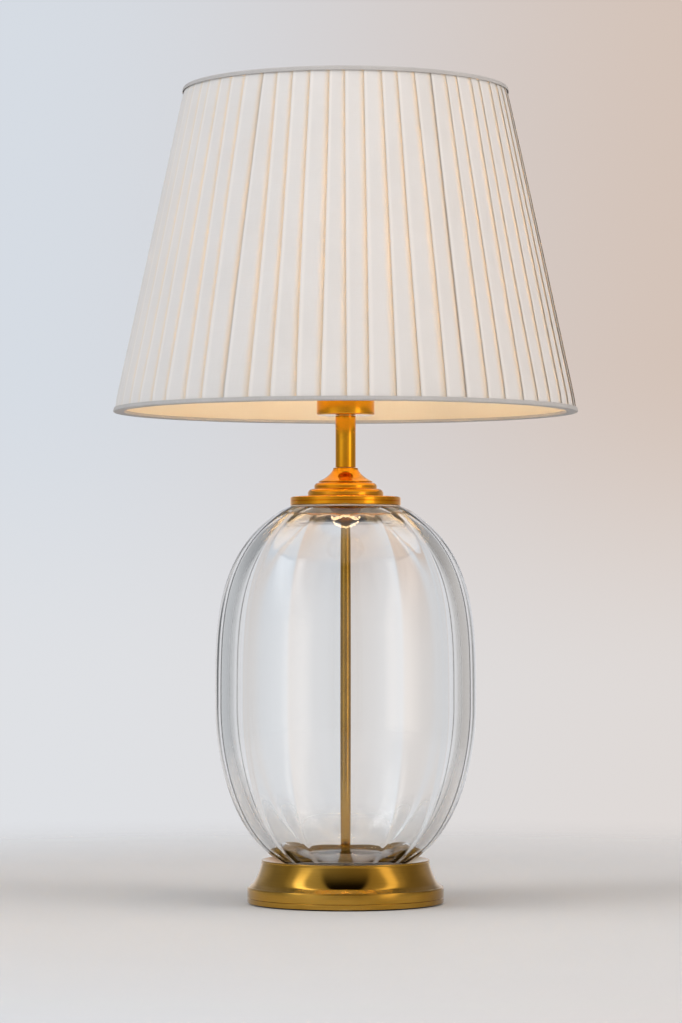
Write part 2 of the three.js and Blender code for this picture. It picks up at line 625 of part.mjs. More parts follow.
function addCollar() {
  const flangeTop = flangeBottom + FLANGE_THICKNESS;
  const spigotRadius = MOUTH_RADIUS - 1;
  const flange = drawn((path) => {
    path.moveTo(FIT_BORE, flangeBottom - SPIGOT_LENGTH);
    path.lineTo(spigotRadius, flangeBottom - SPIGOT_LENGTH);
    path.lineTo(spigotRadius, flangeBottom);
    path.lineTo(FLANGE_RADIUS - 1, flangeBottom);
    path.quadraticCurveTo(FLANGE_RADIUS, flangeBottom, FLANGE_RADIUS, flangeBottom + 1);
    path.lineTo(FLANGE_RADIUS, flangeTop - FLANGE_ROUND);
    path.quadraticCurveTo(FLANGE_RADIUS, flangeTop, FLANGE_RADIUS - FLANGE_ROUND, flangeTop);
    path.lineTo(FIT_BORE, flangeTop);
  }, 2);
  add('collar_flange', turned(flange, LARGE_ROUND), 'brightGold');

  const stepTop = stepBottom + STEP_HEIGHT;
  const upperTop = stepTop + UPPER_STEP_HEIGHT;
  const steps = drawn((path) => {
    path.moveTo(FIT_BORE, stepBottom);
    path.lineTo(STEP_RADIUS, stepBottom);
    path.quadraticCurveTo(STEP_RADIUS + 0.4, stepTop - 1, STEP_RADIUS - 2.4, stepTop);
    path.lineTo(UPPER_STEP_RADIUS + 1, stepTop + 0.4);
    path.quadraticCurveTo(UPPER_STEP_RADIUS + 1.2, upperTop - 1, UPPER_STEP_RADIUS - 1.8, upperTop);
    path.lineTo(FIT_BORE, upperTop);
  });
  add('step_ring', turned(steps, LARGE_ROUND), 'brightGold');

  const coneTop = coneBottom + CONE_HEIGHT;
  const cone = drawn((path) => {
    path.moveTo(FIT_BORE, coneBottom);
    path.lineTo(CONE_FOOT_RADIUS, coneBottom);
    path.quadraticCurveTo(CONE_TOP_RADIUS + 3.4, coneBottom + CONE_HEIGHT * 0.45, CONE_TOP_RADIUS, coneTop);
    path.lineTo(FIT_BORE, coneTop);
  }, 5);
  add('neck_cone', turned(cone, LARGE_ROUND), 'brightGold');

  const stem = ring(STEM_RADIUS - STEM_WALL, STEM_RADIUS, stemBottom, stemBottom + STEM_LENGTH, MEDIUM_ROUND);
  add('stem_tube', stem, 'brightGold');
}

// ---------------------------------------------------------------- lampholder

function addHolder() {
  const cupInner = CUP_RADIUS - CUP_WALL;
  const cup = drawn((path) => {
    path.moveTo(FIT_BORE, cupBottom);
    path.lineTo(CUP_RADIUS - CUP_EDGE_ROUND, cupBottom);
    path.quadraticCurveTo(CUP_RADIUS, cupBottom, CUP_RADIUS, cupBottom + CUP_EDGE_ROUND);
    path.lineTo(CUP_RADIUS, cupTop);
    path.lineTo(cupInner, cupTop);
    path.lineTo(cupInner, cupBottom + CUP_WALL);
    path.lineTo(FIT_BORE, cupBottom + CUP_WALL);
  }, 2);
  add('holder_cup', turned(cup, MEDIUM_ROUND), 'brightGold');

  const terminalBore = TERMINAL_SCREW_RADIUS + CLEARANCE;
  const bores = [-1, 1].map((side) => {
    const bore = cylinder(terminalBore, holderBaseBottom - 1, holderBaseTop + 1, 12);
    return bore.translate(side * TERMINAL_SPREAD, 0, 0);
  });
  const base = cylinder(cupInner - 2 * CLEARANCE, holderBaseBottom, holderBaseTop, MEDIUM_ROUND);
  add('holder_base', cut(base, ...bores), 'whitePlastic');

  const headBottom = holderBaseBottom - CLEARANCE - TERMINAL_HEAD_HEIGHT;
  const headTop = holderBaseBottom - CLEARANCE;
  const screw = [
    [0, headBottom],
    [TERMINAL_HEAD_RADIUS, headBottom],
    [TERMINAL_HEAD_RADIUS, headTop],
    [TERMINAL_SCREW_RADIUS, headTop],
    [TERMINAL_SCREW_RADIUS, holderBaseTop],
    [0, holderBaseTop],
  ];
  add('live_terminal', turned(screw, 12), 'brass').position.set(-TERMINAL_SPREAD, 0, 0);
  add('neutral_terminal', turned(screw, 12), 'brass').position.set(TERMINAL_SPREAD, 0, 0);

  const barrelBore = SCREW_SHELL_RADIUS + 2 * CLEARANCE;
  const shoulderTop = shoulderRingBottom + SHOULDER_RING_THICKNESS;
  const barrel = [
    [barrelBore, barrelBottom],
    [BARREL_RADIUS, barrelBottom],
    [BARREL_RADIUS, shoulderRingBottom],
    [CUP_RADIUS + SHOULDER_RING_PROUD, shoulderRingBottom],
    [CUP_RADIUS + SHOULDER_RING_PROUD, shoulderTop],
    [BARREL_RADIUS, shoulderTop],
    [BARREL_RADIUS, barrelTop],
    [barrelBore, barrelTop],
  ];
  add('holder_barrel', turned(barrel, MEDIUM_ROUND), 'whitePlastic');

  const shellInner = SCREW_SHELL_RADIUS - SCREW_SHELL_WALL;
  const shellTop = screwShellBottom + SCREW_SHELL_HEIGHT;
  add('screw_shell', ring(shellInner, SCREW_SHELL_RADIUS, screwShellBottom, shellTop, MEDIUM_ROUND), 'brass');

  const stripFoot = holderBaseTop + CLEARANCE;
  const stripEdge = SCREW_SHELL_RADIUS - 0.4;
  const strip = [
    [TERMINAL_SPREAD - 3, stripFoot],
    [stripEdge, stripFoot],
    [stripEdge, screwShellBottom - CLEARANCE],
    [stripEdge - STRIP_THICKNESS, screwShellBottom - CLEARANCE],
    [stripEdge - STRIP_THICKNESS, stripFoot + STRIP_THICKNESS],
    [TERMINAL_SPREAD - 3, stripFoot + STRIP_THICKNESS],
  ];
  add('side_contact', pressed(strip, STRIP_WIDTH), 'brass');

  const shoulder = contactBottom + CONTACT_THICKNESS;
  const tongue = [
    [-TERMINAL_SPREAD, contactBottom],
    [CONTACT_WIDTH / 2, contactBottom],
    [CONTACT_WIDTH / 2, shoulder],
    [CONTACT_WIDTH / 4, contactTop],
    [-CONTACT_WIDTH / 4, contactTop],
    [-CONTACT_WIDTH / 2, shoulder],
    [-TERMINAL_SPREAD, shoulder],
  ];
  add('centre_contact', pressed(tongue, CONTACT_WIDTH), 'brass');

  const clampTop = clampBottom + CLAMP_RING_HEIGHT;
  const clamp = ring(CLAMP_BORE, FITTER_RADIUS, clampBottom, clampTop, MEDIUM_ROUND);
  const position = clamp.getAttribute('position');
  for (let i = 0; i < position.count; i += 1) {
    const [x, y] = [position.getX(i), position.getY(i)];
    const slice = Math.round((Math.atan2(y, x) / (2 * Math.PI)) * MEDIUM_ROUND);
    const radius = Math.hypot(x, y);
    const inGroove = slice % 2 !== 0 && radius > FITTER_RADIUS - CLAMP_RIB;
    const scale = inGroove ? (radius - CLAMP_RIB) / radius : 1;
    position.setXY(i, x * scale, y * scale);
  }
  add('shade_clamp_ring', clamp, 'whitePlastic');
}

// ---------------------------------------------------------------- bulb

function globeProfile(skin) {
  const radius = BULB_RADIUS - skin;
  const neck = BULB_NECK_RADIUS - skin;
  const centre = bulbBottom + BULB_LENGTH - BULB_RADIUS;
  const join = -Math.PI / 3.6;
  const capTop = capBottom + CAP_HEIGHT;
  return drawn((path) => {
    path.moveTo(neck, capTop - 10);
    path.lineTo(neck, capTop + 3);
    path.quadraticCurveTo(neck + 1.2, capTop + 14, radius * Math.cos(join), centre + radius * Math.sin(join));
    path.absarc(0, centre, radius, join, Math.PI / 2);
  }, 4);
}

function addBulb() {
  const outside = globeProfile(0);
  const inside = globeProfile(BULB_WALL).reverse();
  [outside.at(-1), inside[0]].forEach((pole) => pole.setX(0));
  const globe = [...outside, ...inside];
  add('bulb_globe', turned(globe, MEDIUM_ROUND), 'opalGlass');

  const capTop = capBottom + CAP_HEIGHT;
  const capInner = CAP_RADIUS - CAP_WALL;
  add('bulb_cap', ring(capInner, CAP_RADIUS, capBottom, capTop, MEDIUM_ROUND), 'nickel');

  const insulatorTop = insulatorBottom + INSULATOR_HEIGHT;
  const insulator = [
    [0, insulatorBottom],
    [TIP_RADIUS + 0.6, insulatorBottom],
    [CAP_RADIUS - 0.8, insulatorTop],
    [0, insulatorTop],
  ];
  add('bulb_insulator', turned(insulator, MEDIUM_ROUND), 'blackPlastic');

  const tip = [
    [0, bulbBottom],
    [TIP_RADIUS * 0.6, bulbBottom],
    [TIP_RADIUS, bulbBottom + TIP_HEIGHT * 0.6],
    [TIP_RADIUS, bulbBottom + TIP_HEIGHT],
    [0, bulbBottom + TIP_HEIGHT],
  ];
  add('bulb_tip', turned(tip, SMALL_ROUND), 'nickel');
}

// ---------------------------------------------------------------- shade

// The shade's outer cone; every layer lies a fixed inset inside it.
function coneRadius(height, inset = 0) {
  const share = (height - shadeBottom) / SHADE_HEIGHT;
  return THREE.MathUtils.lerp(SHADE_BOTTOM_RADIUS, SHADE_TOP_RADIUS, share) - inset;
}

function coneShell(inset, thickness, bottom, top) {
  const profile = [
    [coneRadius(bottom, inset + thickness), bottom],
    [coneRadius(bottom, inset), bottom],
    [coneRadius(top, inset), top],
    [coneRadius(top, inset + thickness), top],
  ];
  return turned(profile, LARGE_ROUND);
}

// The binding tape folds over an edge: an outer leg, a web past the edge and an inner leg.
function bindingProfile(edge, inward) {
  const web = edge + inward * BINDING_THICKNESS;
  const legEnd = edge + inward * BINDING_DEPTH;
  const corner = (inset, height) => [coneRadius(height, inset), height];
  return [
    corner(0, edge),
    corner(0, legEnd),
    corner(BINDING_THICKNESS, legEnd),
    corner(BINDING_THICKNESS, web),
    corner(innerLegInset, web),
    corner(innerLegInset, legEnd),
    corner(innerLegInset + BINDING_THICKNESS, legEnd),
    corner(innerLegInset + BINDING_THICKNESS, edge),
  ];
}

function addShade() {
  const shade = new THREE.Group();
  lamp.add(shade);

  const cover = coneShell(coverInset, COVER_THICKNESS, fabricBottom, fabricTop);
  add('pleated_cover', cover, 'pleatedFabric', shade);
  for (const [name, height] of [['bottom_ring', lowerWireHeight], ['top_ring', upperWireHeight]]) {
    const hoop = wireRing(coneRadius(height, wireInset), height, WIRE_RADIUS, LARGE_ROUND);
    add(name, hoop, 'whiteWireCoat', shade);
  }
  add('bottom_binding', turned(bindingProfile(shadeBottom, 1), LARGE_ROUND), 'binding', shade);
  add('top_binding', turned(bindingProfile(shadeTop, -1), LARGE_ROUND), 'binding', shade);

  const strutBottom = lowerWireHeight + WIRE_RADIUS + CLEARANCE;
  const strutTop = upperWireHeight - WIRE_RADIUS - CLEARANCE;
  for (let i = 0; i < STRUTS; i += 1) {
    const angle = (i * 2 * Math.PI) / STRUTS;
    const foot = atAngle(coneRadius(strutBottom, wireInset), angle, strutBottom);
    const head = atAngle(coneRadius(strutTop, wireInset), angle, strutTop);
    addWire(`strut_${i + 1}`, foot, head, STRUT_RADIUS, 'whiteWireCoat', shade);
  }

  const fitter = ring(CLAMP_BORE, FITTER_RADIUS, fitterBottom, fitterTop, MEDIUM_ROUND);
  add('fitter_ring', fitter, 'whiteWireCoat', shade);

  const armHeight = (fitterBottom + fitterTop) / 2;
  const armEnd = coneRadius(armHeight, wireInset) - STRUT_RADIUS - 2 * CLEARANCE;
  const slits = [];
  for (let i = 0; i < ARMS; i += 1) {
    const angle = Math.PI / 3 + (i * 2 * Math.PI) / ARMS;
    const inner = atAngle(FITTER_RADIUS + CLEARANCE, angle, armHeight);
    const outer = atAngle(armEnd, angle, armHeight);
    addWire(`fitter_arm_${i + 1}`, inner, outer, WIRE_RADIUS, 'whiteWireCoat', shade);
    const slit = cylinder(WIRE_RADIUS + 2 * CLEARANCE, FITTER_RADIUS, SHADE_BOTTOM_RADIUS, 8);
    slits.push(slit.rotateY(Math.PI / 2).rotateZ(angle).translate(0, 0, armHeight));
  }
  const lining = coneShell(liningInset, LINING_THICKNESS, fabricBottom, fabricTop);
  add('shade_lining', cut(lining, ...slits), 'lining', shade);
}

addBase();
addPipe();
addGlass();
addCollar();
addHolder();
addBulb();
addShade();

export default lamp;
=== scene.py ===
# %% [markdown]
# # A table lamp with a fluted glass body and a knife-pleated shade
# The lamp stands on a turned brass base. A thick glass body sits in the base's dish, a gold tube runs
# up its middle, and a stepped collar and a stem carry the lampholder. The shade is a wire cone with
# a cloth lining inside and a pleated cover outside, bound with tape at both rims.
# The working parts come from the CAD frame, and what shows is made finer round them here.

# %% Load the frame
import math

import bpy
import numpy as np
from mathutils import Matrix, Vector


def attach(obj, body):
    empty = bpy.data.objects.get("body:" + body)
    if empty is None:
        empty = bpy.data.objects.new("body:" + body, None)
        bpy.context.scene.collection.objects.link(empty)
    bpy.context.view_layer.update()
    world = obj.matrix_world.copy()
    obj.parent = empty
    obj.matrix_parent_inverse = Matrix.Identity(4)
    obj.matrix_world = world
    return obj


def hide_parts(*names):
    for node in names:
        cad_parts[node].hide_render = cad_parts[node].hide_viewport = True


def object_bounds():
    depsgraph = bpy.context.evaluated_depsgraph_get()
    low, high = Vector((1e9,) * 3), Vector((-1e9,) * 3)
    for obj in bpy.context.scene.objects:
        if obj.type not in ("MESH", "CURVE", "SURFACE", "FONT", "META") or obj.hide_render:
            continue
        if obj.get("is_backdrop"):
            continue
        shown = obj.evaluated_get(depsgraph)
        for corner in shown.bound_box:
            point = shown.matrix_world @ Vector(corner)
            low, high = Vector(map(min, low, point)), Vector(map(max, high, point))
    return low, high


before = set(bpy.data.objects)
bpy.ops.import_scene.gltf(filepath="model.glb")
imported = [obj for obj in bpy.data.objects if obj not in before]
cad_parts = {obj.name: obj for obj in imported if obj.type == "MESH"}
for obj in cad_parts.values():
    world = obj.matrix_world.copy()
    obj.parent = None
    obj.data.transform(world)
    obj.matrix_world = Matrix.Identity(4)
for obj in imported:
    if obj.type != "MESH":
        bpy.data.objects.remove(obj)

MM = 0.001
FULL_TURN = 2 * math.pi
cad_low, cad_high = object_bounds()
size_mm = [round(1000 * side) for side in cad_high - cad_low]
print(f"the frame is {size_mm} mm and has {len(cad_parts)} nodes")

# %% [markdown]
# ## Room, light and camera
# A plain pale floor keeps the eye on the lamp. The room's light is a soft gradient, cool on one side
# and warm on the other, because clear glass and polished metal show nothing but what is round them.
# The room has a bright zone on either side of the front and a dark gap between, and these give turned
# brass its bright flanks and its dark middle. Soft boxes light the cloth. A long lens from far away
# keeps the rims nearly flat.

# %% Camera and colour
CAMERA_DISTANCE = 2.76
CAMERA_HEIGHT = 0.235

bpy.ops.object.select_all(action="DESELECT")
bpy.ops.object.camera_add(
    location=(-0.0035, -CAMERA_DISTANCE, CAMERA_HEIGHT), rotation=(math.radians(90), 0, 0)
)
camera = bpy.context.object
camera.data.lens = 126.7
camera.data.sensor_width = 36
camera.data.shift_y = 0.0832
camera.data.clip_end = 100
bpy.context.scene.camera = camera
bpy.context.scene.view_settings.view_transform = "Standard"
print(f"camera at {tuple(round(c, 3) for c in camera.location)}, lens {camera.data.lens} mm")


# %% Node helpers
class Finish:
    """A material being built: put adds a node, and the finish's own shader is already in place."""

    def __init__(self, name, tree=None):
        self.material = None if tree else bpy.data.materials.new(name)
        if self.material:
            self.material.use_nodes = True
            tree = self.material.node_tree
        self.tree = tree
        tree.nodes.clear()
        if self.material:
            self.shader = self.put("BsdfPrincipled")
            self.output = self.put("OutputMaterial", Surface=self.shader.outputs[0])

    def put(self, kind, settings=None, **inputs):
        node = self.tree.nodes.new("ShaderNode" + kind)
        for setting, value in (settings or {}).items():
            setattr(node, setting, value)
        for socket, value in inputs.items():
            self.feed(node, socket.replace("_", " "), value)
        return node

    def feed(self, node, socket, value):
        socket = node.inputs[int(socket) if socket.isdigit() else socket]
        if isinstance(value, bpy.types.NodeSocket):
            self.tree.links.new(value, socket)
        else:
            socket.default_value = value

    def math(self, operation, *values):
        node = self.put("Math", {"operation": operation})
        for i, value in enumerate(values):
            self.feed(node, str(i), value)
        return node.outputs[0]

    def spread(self, value, low, high, to_low=0.0, to_high=1.0):
        """Maps low..high to to_low..to_high smoothly, and stays at the ends outside."""
        node = self.put("MapRange", {"interpolation_type": "SMOOTHSTEP"})
        for i, number in enumerate((value, low, high, to_low, to_high)):
            self.feed(node, str(i), number)
        return node.outputs[0]

    def mix(self, share, first, second):
        node = self.put("Mix", {"data_type": "RGBA"})
        for socket, value in ((0, share), (6, first), (7, second)):
            self.feed(node, str(socket), value)
        return node.outputs[2]

    def ramp(self, value, stops):
        """A colour for each value from 0 to 1, by (position, red-green-blue) stops."""
        node = self.put("ValToRGB", Fac=value)
        band = node.color_ramp.elements
        while len(band) < len(stops):
            band.new(0.5)
        for element, (position, tint) in zip(band, stops):
            element.position = position
            element.color = (*tint, 1)
        return node.outputs[0]

    def noise(self, vector, scale, detail=3.0, roughness=0.55, w=None):
        node = self.put("TexNoise", {"noise_dimensions": "3D" if w is None else "4D"})
        for socket, value in (("Vector", vector), ("Scale", scale), ("Detail", detail),
                              ("Roughness", roughness)):
            self.feed(node, socket, value)
        if w is not None:
            self.feed(node, "W", w)
        return node.outputs[0]

    def stretched(self, vector, x, y, z):
        return self.put("Mapping", Vector=vector, Scale=(x, y, z)).outputs[0]

    def place(self):
        return self.put("TexCoord").outputs["Object"]

    def bump(self, height, depth, strength=1.0, under=None):
        """Raised grain, depth in metres."""
        node = self.put("Bump", Height=height, Distance=depth, Strength=strength)
        if under is not None:
            self.feed(node, "Normal", under)
        return node.outputs[0]

    def set(self, **inputs):
        for socket, value in inputs.items():
            self.feed(self.shader, socket.replace("_", " "), value)


def colour(red, green, blue):
    """A colour given as on a paint chart, 0 to 255, as the linear values that shaders use."""
    linear = [((c / 255 + 0.055) / 1.055) ** 2.4 if c > 10 else c / 3295 for c in (red, green, blue)]
    return (*linear, 1.0)


print("node helpers ready")

# %% [markdown]
# The world is painted by direction alone. Behind the lamp it turns from cool to warm across the
# narrow slice that shows. Round the sides it is grey, which gives the glass its soft grey edges. In
# front are two bright flanks with a darker gap between, which is darkest higher up. The flanks stand
# wider apart there too, because the base's flare leans back and mirrors what is above.

# %% Room light
room = bpy.data.worlds.new("room")
room.use_nodes = True
bpy.context.scene.world = room
air = Finish("room", room.node_tree)
direction = air.put("TexCoord").outputs["Generated"]
sides = air.put("SeparateXYZ", Vector=direction)
across = air.spread(sides.outputs[0], -0.10, 0.12)
high_wall = air.mix(across, colour(214, 220, 228), colour(212, 194, 182))
low_wall = air.mix(across, colour(223, 225, 229), colour(223, 217, 214))
back_wall = air.mix(air.spread(sides.outputs[2], -0.03, 0.07), low_wall, high_wall)
beyond = air.spread(air.math("ABSOLUTE", sides.outputs[0]), 0.105, 0.15)
back_wall = air.mix(beyond, back_wall, colour(232, 232, 236))
print("the wall behind painted")

# %% Bright flanks and dark gap
FLANKS_SPREAD = 0.16  # how much farther from the front the flanks stand high up, in half turns

to_front = air.math("MULTIPLY", sides.outputs[1], -1.0)
facing = air.math("ABSOLUTE", air.math("ARCTAN2", sides.outputs[0], to_front))
turned = air.math("DIVIDE", facing, math.pi)
rising = air.spread(sides.outputs[2], 0.15, 0.85)
turned_here = air.math("SUBTRACT", turned, air.math("MULTIPLY", rising, FLANKS_SPREAD))
bright = air.ramp(turned_here, [
    (0.00, (0.45, 0.44, 0.42)), (0.06, (0.45, 0.44, 0.42)), (0.16, (0.62, 0.61, 0.60)),
    (0.28, (1.00, 0.99, 0.98)), (0.45, (0.40, 0.40, 0.40)), (0.62, (0.31, 0.31, 0.31)),
    (0.74, (0.46, 0.46, 0.46)), (0.84, (0.50, 0.50, 0.50)), (0.90, (1, 1, 1)),
])
near_side = air.spread(turned_here, 0.20, 0.27)
flank = air.math("MULTIPLY", near_side, air.spread(turned_here, 0.37, 0.30))
to_right = air.spread(sides.outputs[0], -0.1, 0.1)
level_flank = air.mix(to_right, (0.85, 0.84, 0.82, 1), (1.8, 1.7, 1.6, 1))
upper_flank = air.mix(to_right, (3.2, 3.1, 3.0, 1), (2.0, 1.95, 1.9, 1))
bright = air.mix(flank, bright, air.mix(rising, level_flank, upper_flank))
upper = air.spread(sides.outputs[2], 0.15, 0.40)
upper_back = air.math("MULTIPLY", upper, air.spread(turned, 0.50, 0.60))
bright = air.mix(air.math("MULTIPLY", upper_back, 0.6), bright, (0.26, 0.26, 0.26, 1))
gap = air.math("MULTIPLY", rising, air.spread(turned, 0.22, 0.16))
bright = air.mix(gap, bright, (0.01, 0.009, 0.008, 1))
cool, warm = (0.97, 1.0, 1.03, 1), (1.04, 0.99, 0.95, 1)
side_tint = air.mix(air.spread(sides.outputs[0], -0.5, 0.5), cool, warm)
walls = air.mix(air.spread(turned, 0.80, 0.93), side_tint, back_wall)
walls = air.put("VectorMath", {"operation": "MULTIPLY"}, **{"0": walls, "1": bright}).outputs[0]
overhead = air.spread(sides.outputs[2], 0.93, 0.99)
walls = air.mix(overhead, walls, colour(246, 241, 236))
glow = air.put("Background", Color=walls, Strength=1.0)
air.put("OutputWorld", Surface=glow.outputs[0])
print("room light painted by direction")

# %% Soft boxes
def soft_box(name, place, size, power, tint):
    """A tall soft box that faces the middle of the lamp, and that metal and glass don't mirror."""
    bpy.ops.object.select_all(action="DESELECT")
    bpy.ops.object.light_add(type="AREA", location=place)
    light = bpy.context.object
    light.name = name
    light.data.shape = "RECTANGLE"
    light.data.size, light.data.size_y = size
    light.data.energy = power
    light.data.color = tint
    aim = [-place[0], -place[1], 0.3 - place[2]]
    turn = math.atan2(aim[1], aim[0]) - math.radians(90)
    tilt = math.radians(90) + math.atan2(aim[2], math.hypot(aim[0], aim[1]))
    light.rotation_euler = (tilt, 0, turn)
    light.visible_glossy = light.visible_transmission = False
    print(f"{name}: {power} W")


soft_box("left_box", (-2.8, -1.5, 1.2), (2.2, 3.0), 30, (0.95, 0.98, 1.0))
soft_box("right_box", (2.8, -1.5, 1.2), (2.0, 3.0), 26, (1.0, 0.97, 0.93))
soft_box("top_box", (0.0, -0.9, 1.45), (1.0, 1.0), 4, (1.0, 0.99, 0.98))

# %% Floor
FLOOR_RADIUS = 1.6
FADE_STARTS, FADE_ENDS = 0.28, 1.1  # metres from the lamp, where the floor melts into the room

bpy.ops.object.select_all(action="DESELECT")
bpy.ops.mesh.primitive_circle_add(vertices=96, radius=FLOOR_RADIUS, fill_type="NGON", location=(0, 0, 0))
floor = bpy.context.object
floor.name = "floor"
ground = Finish("pale_floor")
marks = ground.noise(ground.place(), 2.5, 4.0)
ground.set(
    Base_Color=ground.mix(marks, colour(225, 225, 227), colour(231, 231, 232)),
    Roughness=0.75,
)
from_lamp = ground.put("VectorMath", {"operation": "LENGTH"}, **{"0": ground.place()}).outputs[1]
fade = ground.spread(from_lamp, FADE_STARTS, FADE_ENDS)
clear = ground.put("BsdfTransparent")
blend = ground.put("MixShader", **{"0": fade, "1": ground.shader.outputs[0], "2": clear.outputs[0]})
ground.tree.links.new(blend.outputs[0], ground.output.inputs["Surface"])
floor.data.materials.append(ground.material)
floor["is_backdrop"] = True
print("floor laid")

# %% [markdown]
# ## Finishes
# Each finish is one material built from nodes. The metals are turned on a lathe and brushed, so their
# grain runs round the axis: the pattern reads radius and height finely and angle coarsely.
# The antique finish is olive in the hollows and paler where hands rub the edges.

# %% Brushed golds
GRAIN_PER_METRE = 1600.0
ALONG_GRAIN = 3.0  # the grain's change round the axis, far slower than across it


def grain_place(metal, place):
    """Where the grain is read: radius, height and one way round, then the other way round."""
    flat = metal.put("VectorMath", {"operation": "MULTIPLY"}, **{"0": place, "1": (1, 1, 0)})
    radius = metal.put("VectorMath", {"operation": "LENGTH"}, **{"0": flat.outputs[0]}).outputs[1]
    height = metal.put("SeparateXYZ", Vector=place).outputs[2]
    facing = metal.put("VectorMath", {"operation": "NORMALIZE"}, **{"0": flat.outputs[0]})
    round_x, round_y = metal.put("SeparateXYZ", Vector=facing.outputs[0]).outputs[:2]
    across = metal.put(
        "CombineXYZ",
        X=metal.math("MULTIPLY", radius, GRAIN_PER_METRE),
        Y=metal.math("MULTIPLY", height, GRAIN_PER_METRE),
        Z=metal.math("MULTIPLY", round_x, ALONG_GRAIN),
    ).outputs[0]
    return across, metal.math("MULTIPLY", round_y, ALONG_GRAIN)


def brushed_metal(name, bright, deep, tarnish, roughness, stretch):
    """Metal brushed round its axis: tarnished in the hollows, rubbed bright on the edges."""
    metal = Finish(name)
    place = metal.place()
    across, along = grain_place(metal, place)
    grain = metal.noise(across, 1.0, 4.0, 0.6, along)
    coarse = metal.noise(across, 0.16, 2.0, 0.5, along)
    clouds = metal.noise(place, 18.0, 2.0)
    edge = metal.put("NewGeometry").outputs["Pointiness"]
    worn = metal.spread(edge, 0.52, 0.58)
    hollow = metal.spread(edge, 0.48, 0.43)
    tone = metal.mix(metal.spread(clouds, 0.3, 0.75), bright, deep)
    tone = metal.mix(metal.spread(grain, 0.45, 0.85, 0.0, 0.25), tone, tarnish)
    tone = metal.mix(metal.math("MULTIPLY", hollow, 0.6), tone, tarnish)
    tone = metal.mix(metal.math("MULTIPLY", worn, 0.5), tone, colour(255, 226, 158))
    rough = metal.math(
        "ADD", roughness, metal.math("MULTIPLY", metal.math("SUBTRACT", coarse, 0.5), 0.08)
    )
    metal.set(
        Base_Color=tone,
        Metallic=1.0,
        Roughness=rough,
        Anisotropic=stretch,
        Anisotropic_Rotation=0.25,
        Tangent=metal.put("Tangent", {"direction_type": "RADIAL", "axis": "Z"}).outputs[0],
        Normal=metal.bump(grain, 0.00001, 0.2),
    )
    print(f"{name}: brushed round the axis")
    return metal.material


antique_gold = brushed_metal(
    "antique_gold", colour(192, 148, 64), colour(160, 118, 38), colour(84, 56, 12), 0.10, 0.6
)
# This second gold is warmer and more orange than the antique one: painted warm light from the bulb on
# the collar, stem and cup.
bright_gold = brushed_metal(
    "bright_gold", colour(238, 164, 36), colour(224, 146, 22), colour(150, 86, 8), 0.11, 0.6
)

# %% [markdown]
# The glass is blown into a fluted mould. It is colourless, so its look comes from its wall bending
# the light. A very slow waviness, far wider than it is deep, stands for the blower's hand.

# %% Clear glass
glass = Finish("clear_glass")
waves = glass.noise(glass.stretched(glass.place(), 1.0, 1.0, 0.35), 14.0, 1.0)
glass.set(
    Base_Color=(0.985, 0.99, 0.99, 1.0),
    Roughness=0.0,
    IOR=1.5,
    Transmission_Weight=1.0,
    Normal=glass.bump(waves, 0.0009, 0.35),
)
clear_glass = glass.material
print("clear glass ready")

# %% [markdown]
# Cloth is woven, so its pattern follows the piece: the cover, the lining and the tapes carry a map in
# metres, and the threads are counted along it. A shade glows because light passes through the weave,
# so a share of each cloth's shader is translucent. On the cover the same map finds each pleat. Its
# pressed edge is painted a little whiter, a painted highlight. The strip before the next fold is one
# layer and lets more light through, and it is painted warmer, painted shade and glow of the crease.
# A greyer line is painted down the cloth over each strut.

# %% Woven cloth
PLEATS = 60
PLEATS_PER_STRUT = 10
MEAN_RADIUS = 0.15125  # of the shade, between its rims, in metres
DIVE_GLOW = 0.20  # more light comes through just before a fold, where the cloth is one layer


def pressed_creases(cloth, tone, along, pleat):
    """The tone with painted highlights on the folds' edges, painted warm shade before each fold and a
    greyer line painted over each strut, and where a fold dives.
    """
    across = cloth.math("FLOORED_MODULO", cloth.math("DIVIDE", along, pleat), 1.0)
    dive = cloth.spread(across, 0.66, 0.98)
    # The strip before each fold is painted warmer: painted shade and glow of the crease, where the front
    # light falls off and the light from inside shows.
    tone = cloth.mix(cloth.math("MULTIPLY", dive, 0.6), tone, colour(246, 232, 210))
    # The fold's pressed edge is painted whiter: a painted highlight where the edge catches the front
    # light.
    edge = cloth.math("MULTIPLY", cloth.spread(across, 0.03, 0.08), cloth.spread(across, 0.22, 0.10))
    tone = cloth.mix(cloth.math("MULTIPLY", edge, 0.6), tone, colour(250, 247, 245))
    # A greyer line is painted down the cloth over each strut.
    between_struts = cloth.math("DIVIDE", along, PLEATS_PER_STRUT * pleat)
    from_strut = cloth.math("FLOORED_MODULO", between_struts, 1.0)
    ends, starts = cloth.spread(from_strut, 0.988, 0.999), cloth.spread(from_strut, 0.006, 0.001)
    strut_line = cloth.math("ADD", ends, starts)
    return cloth.mix(cloth.math("MULTIPLY", strut_line, 0.6), tone, colour(190, 184, 181)), dive


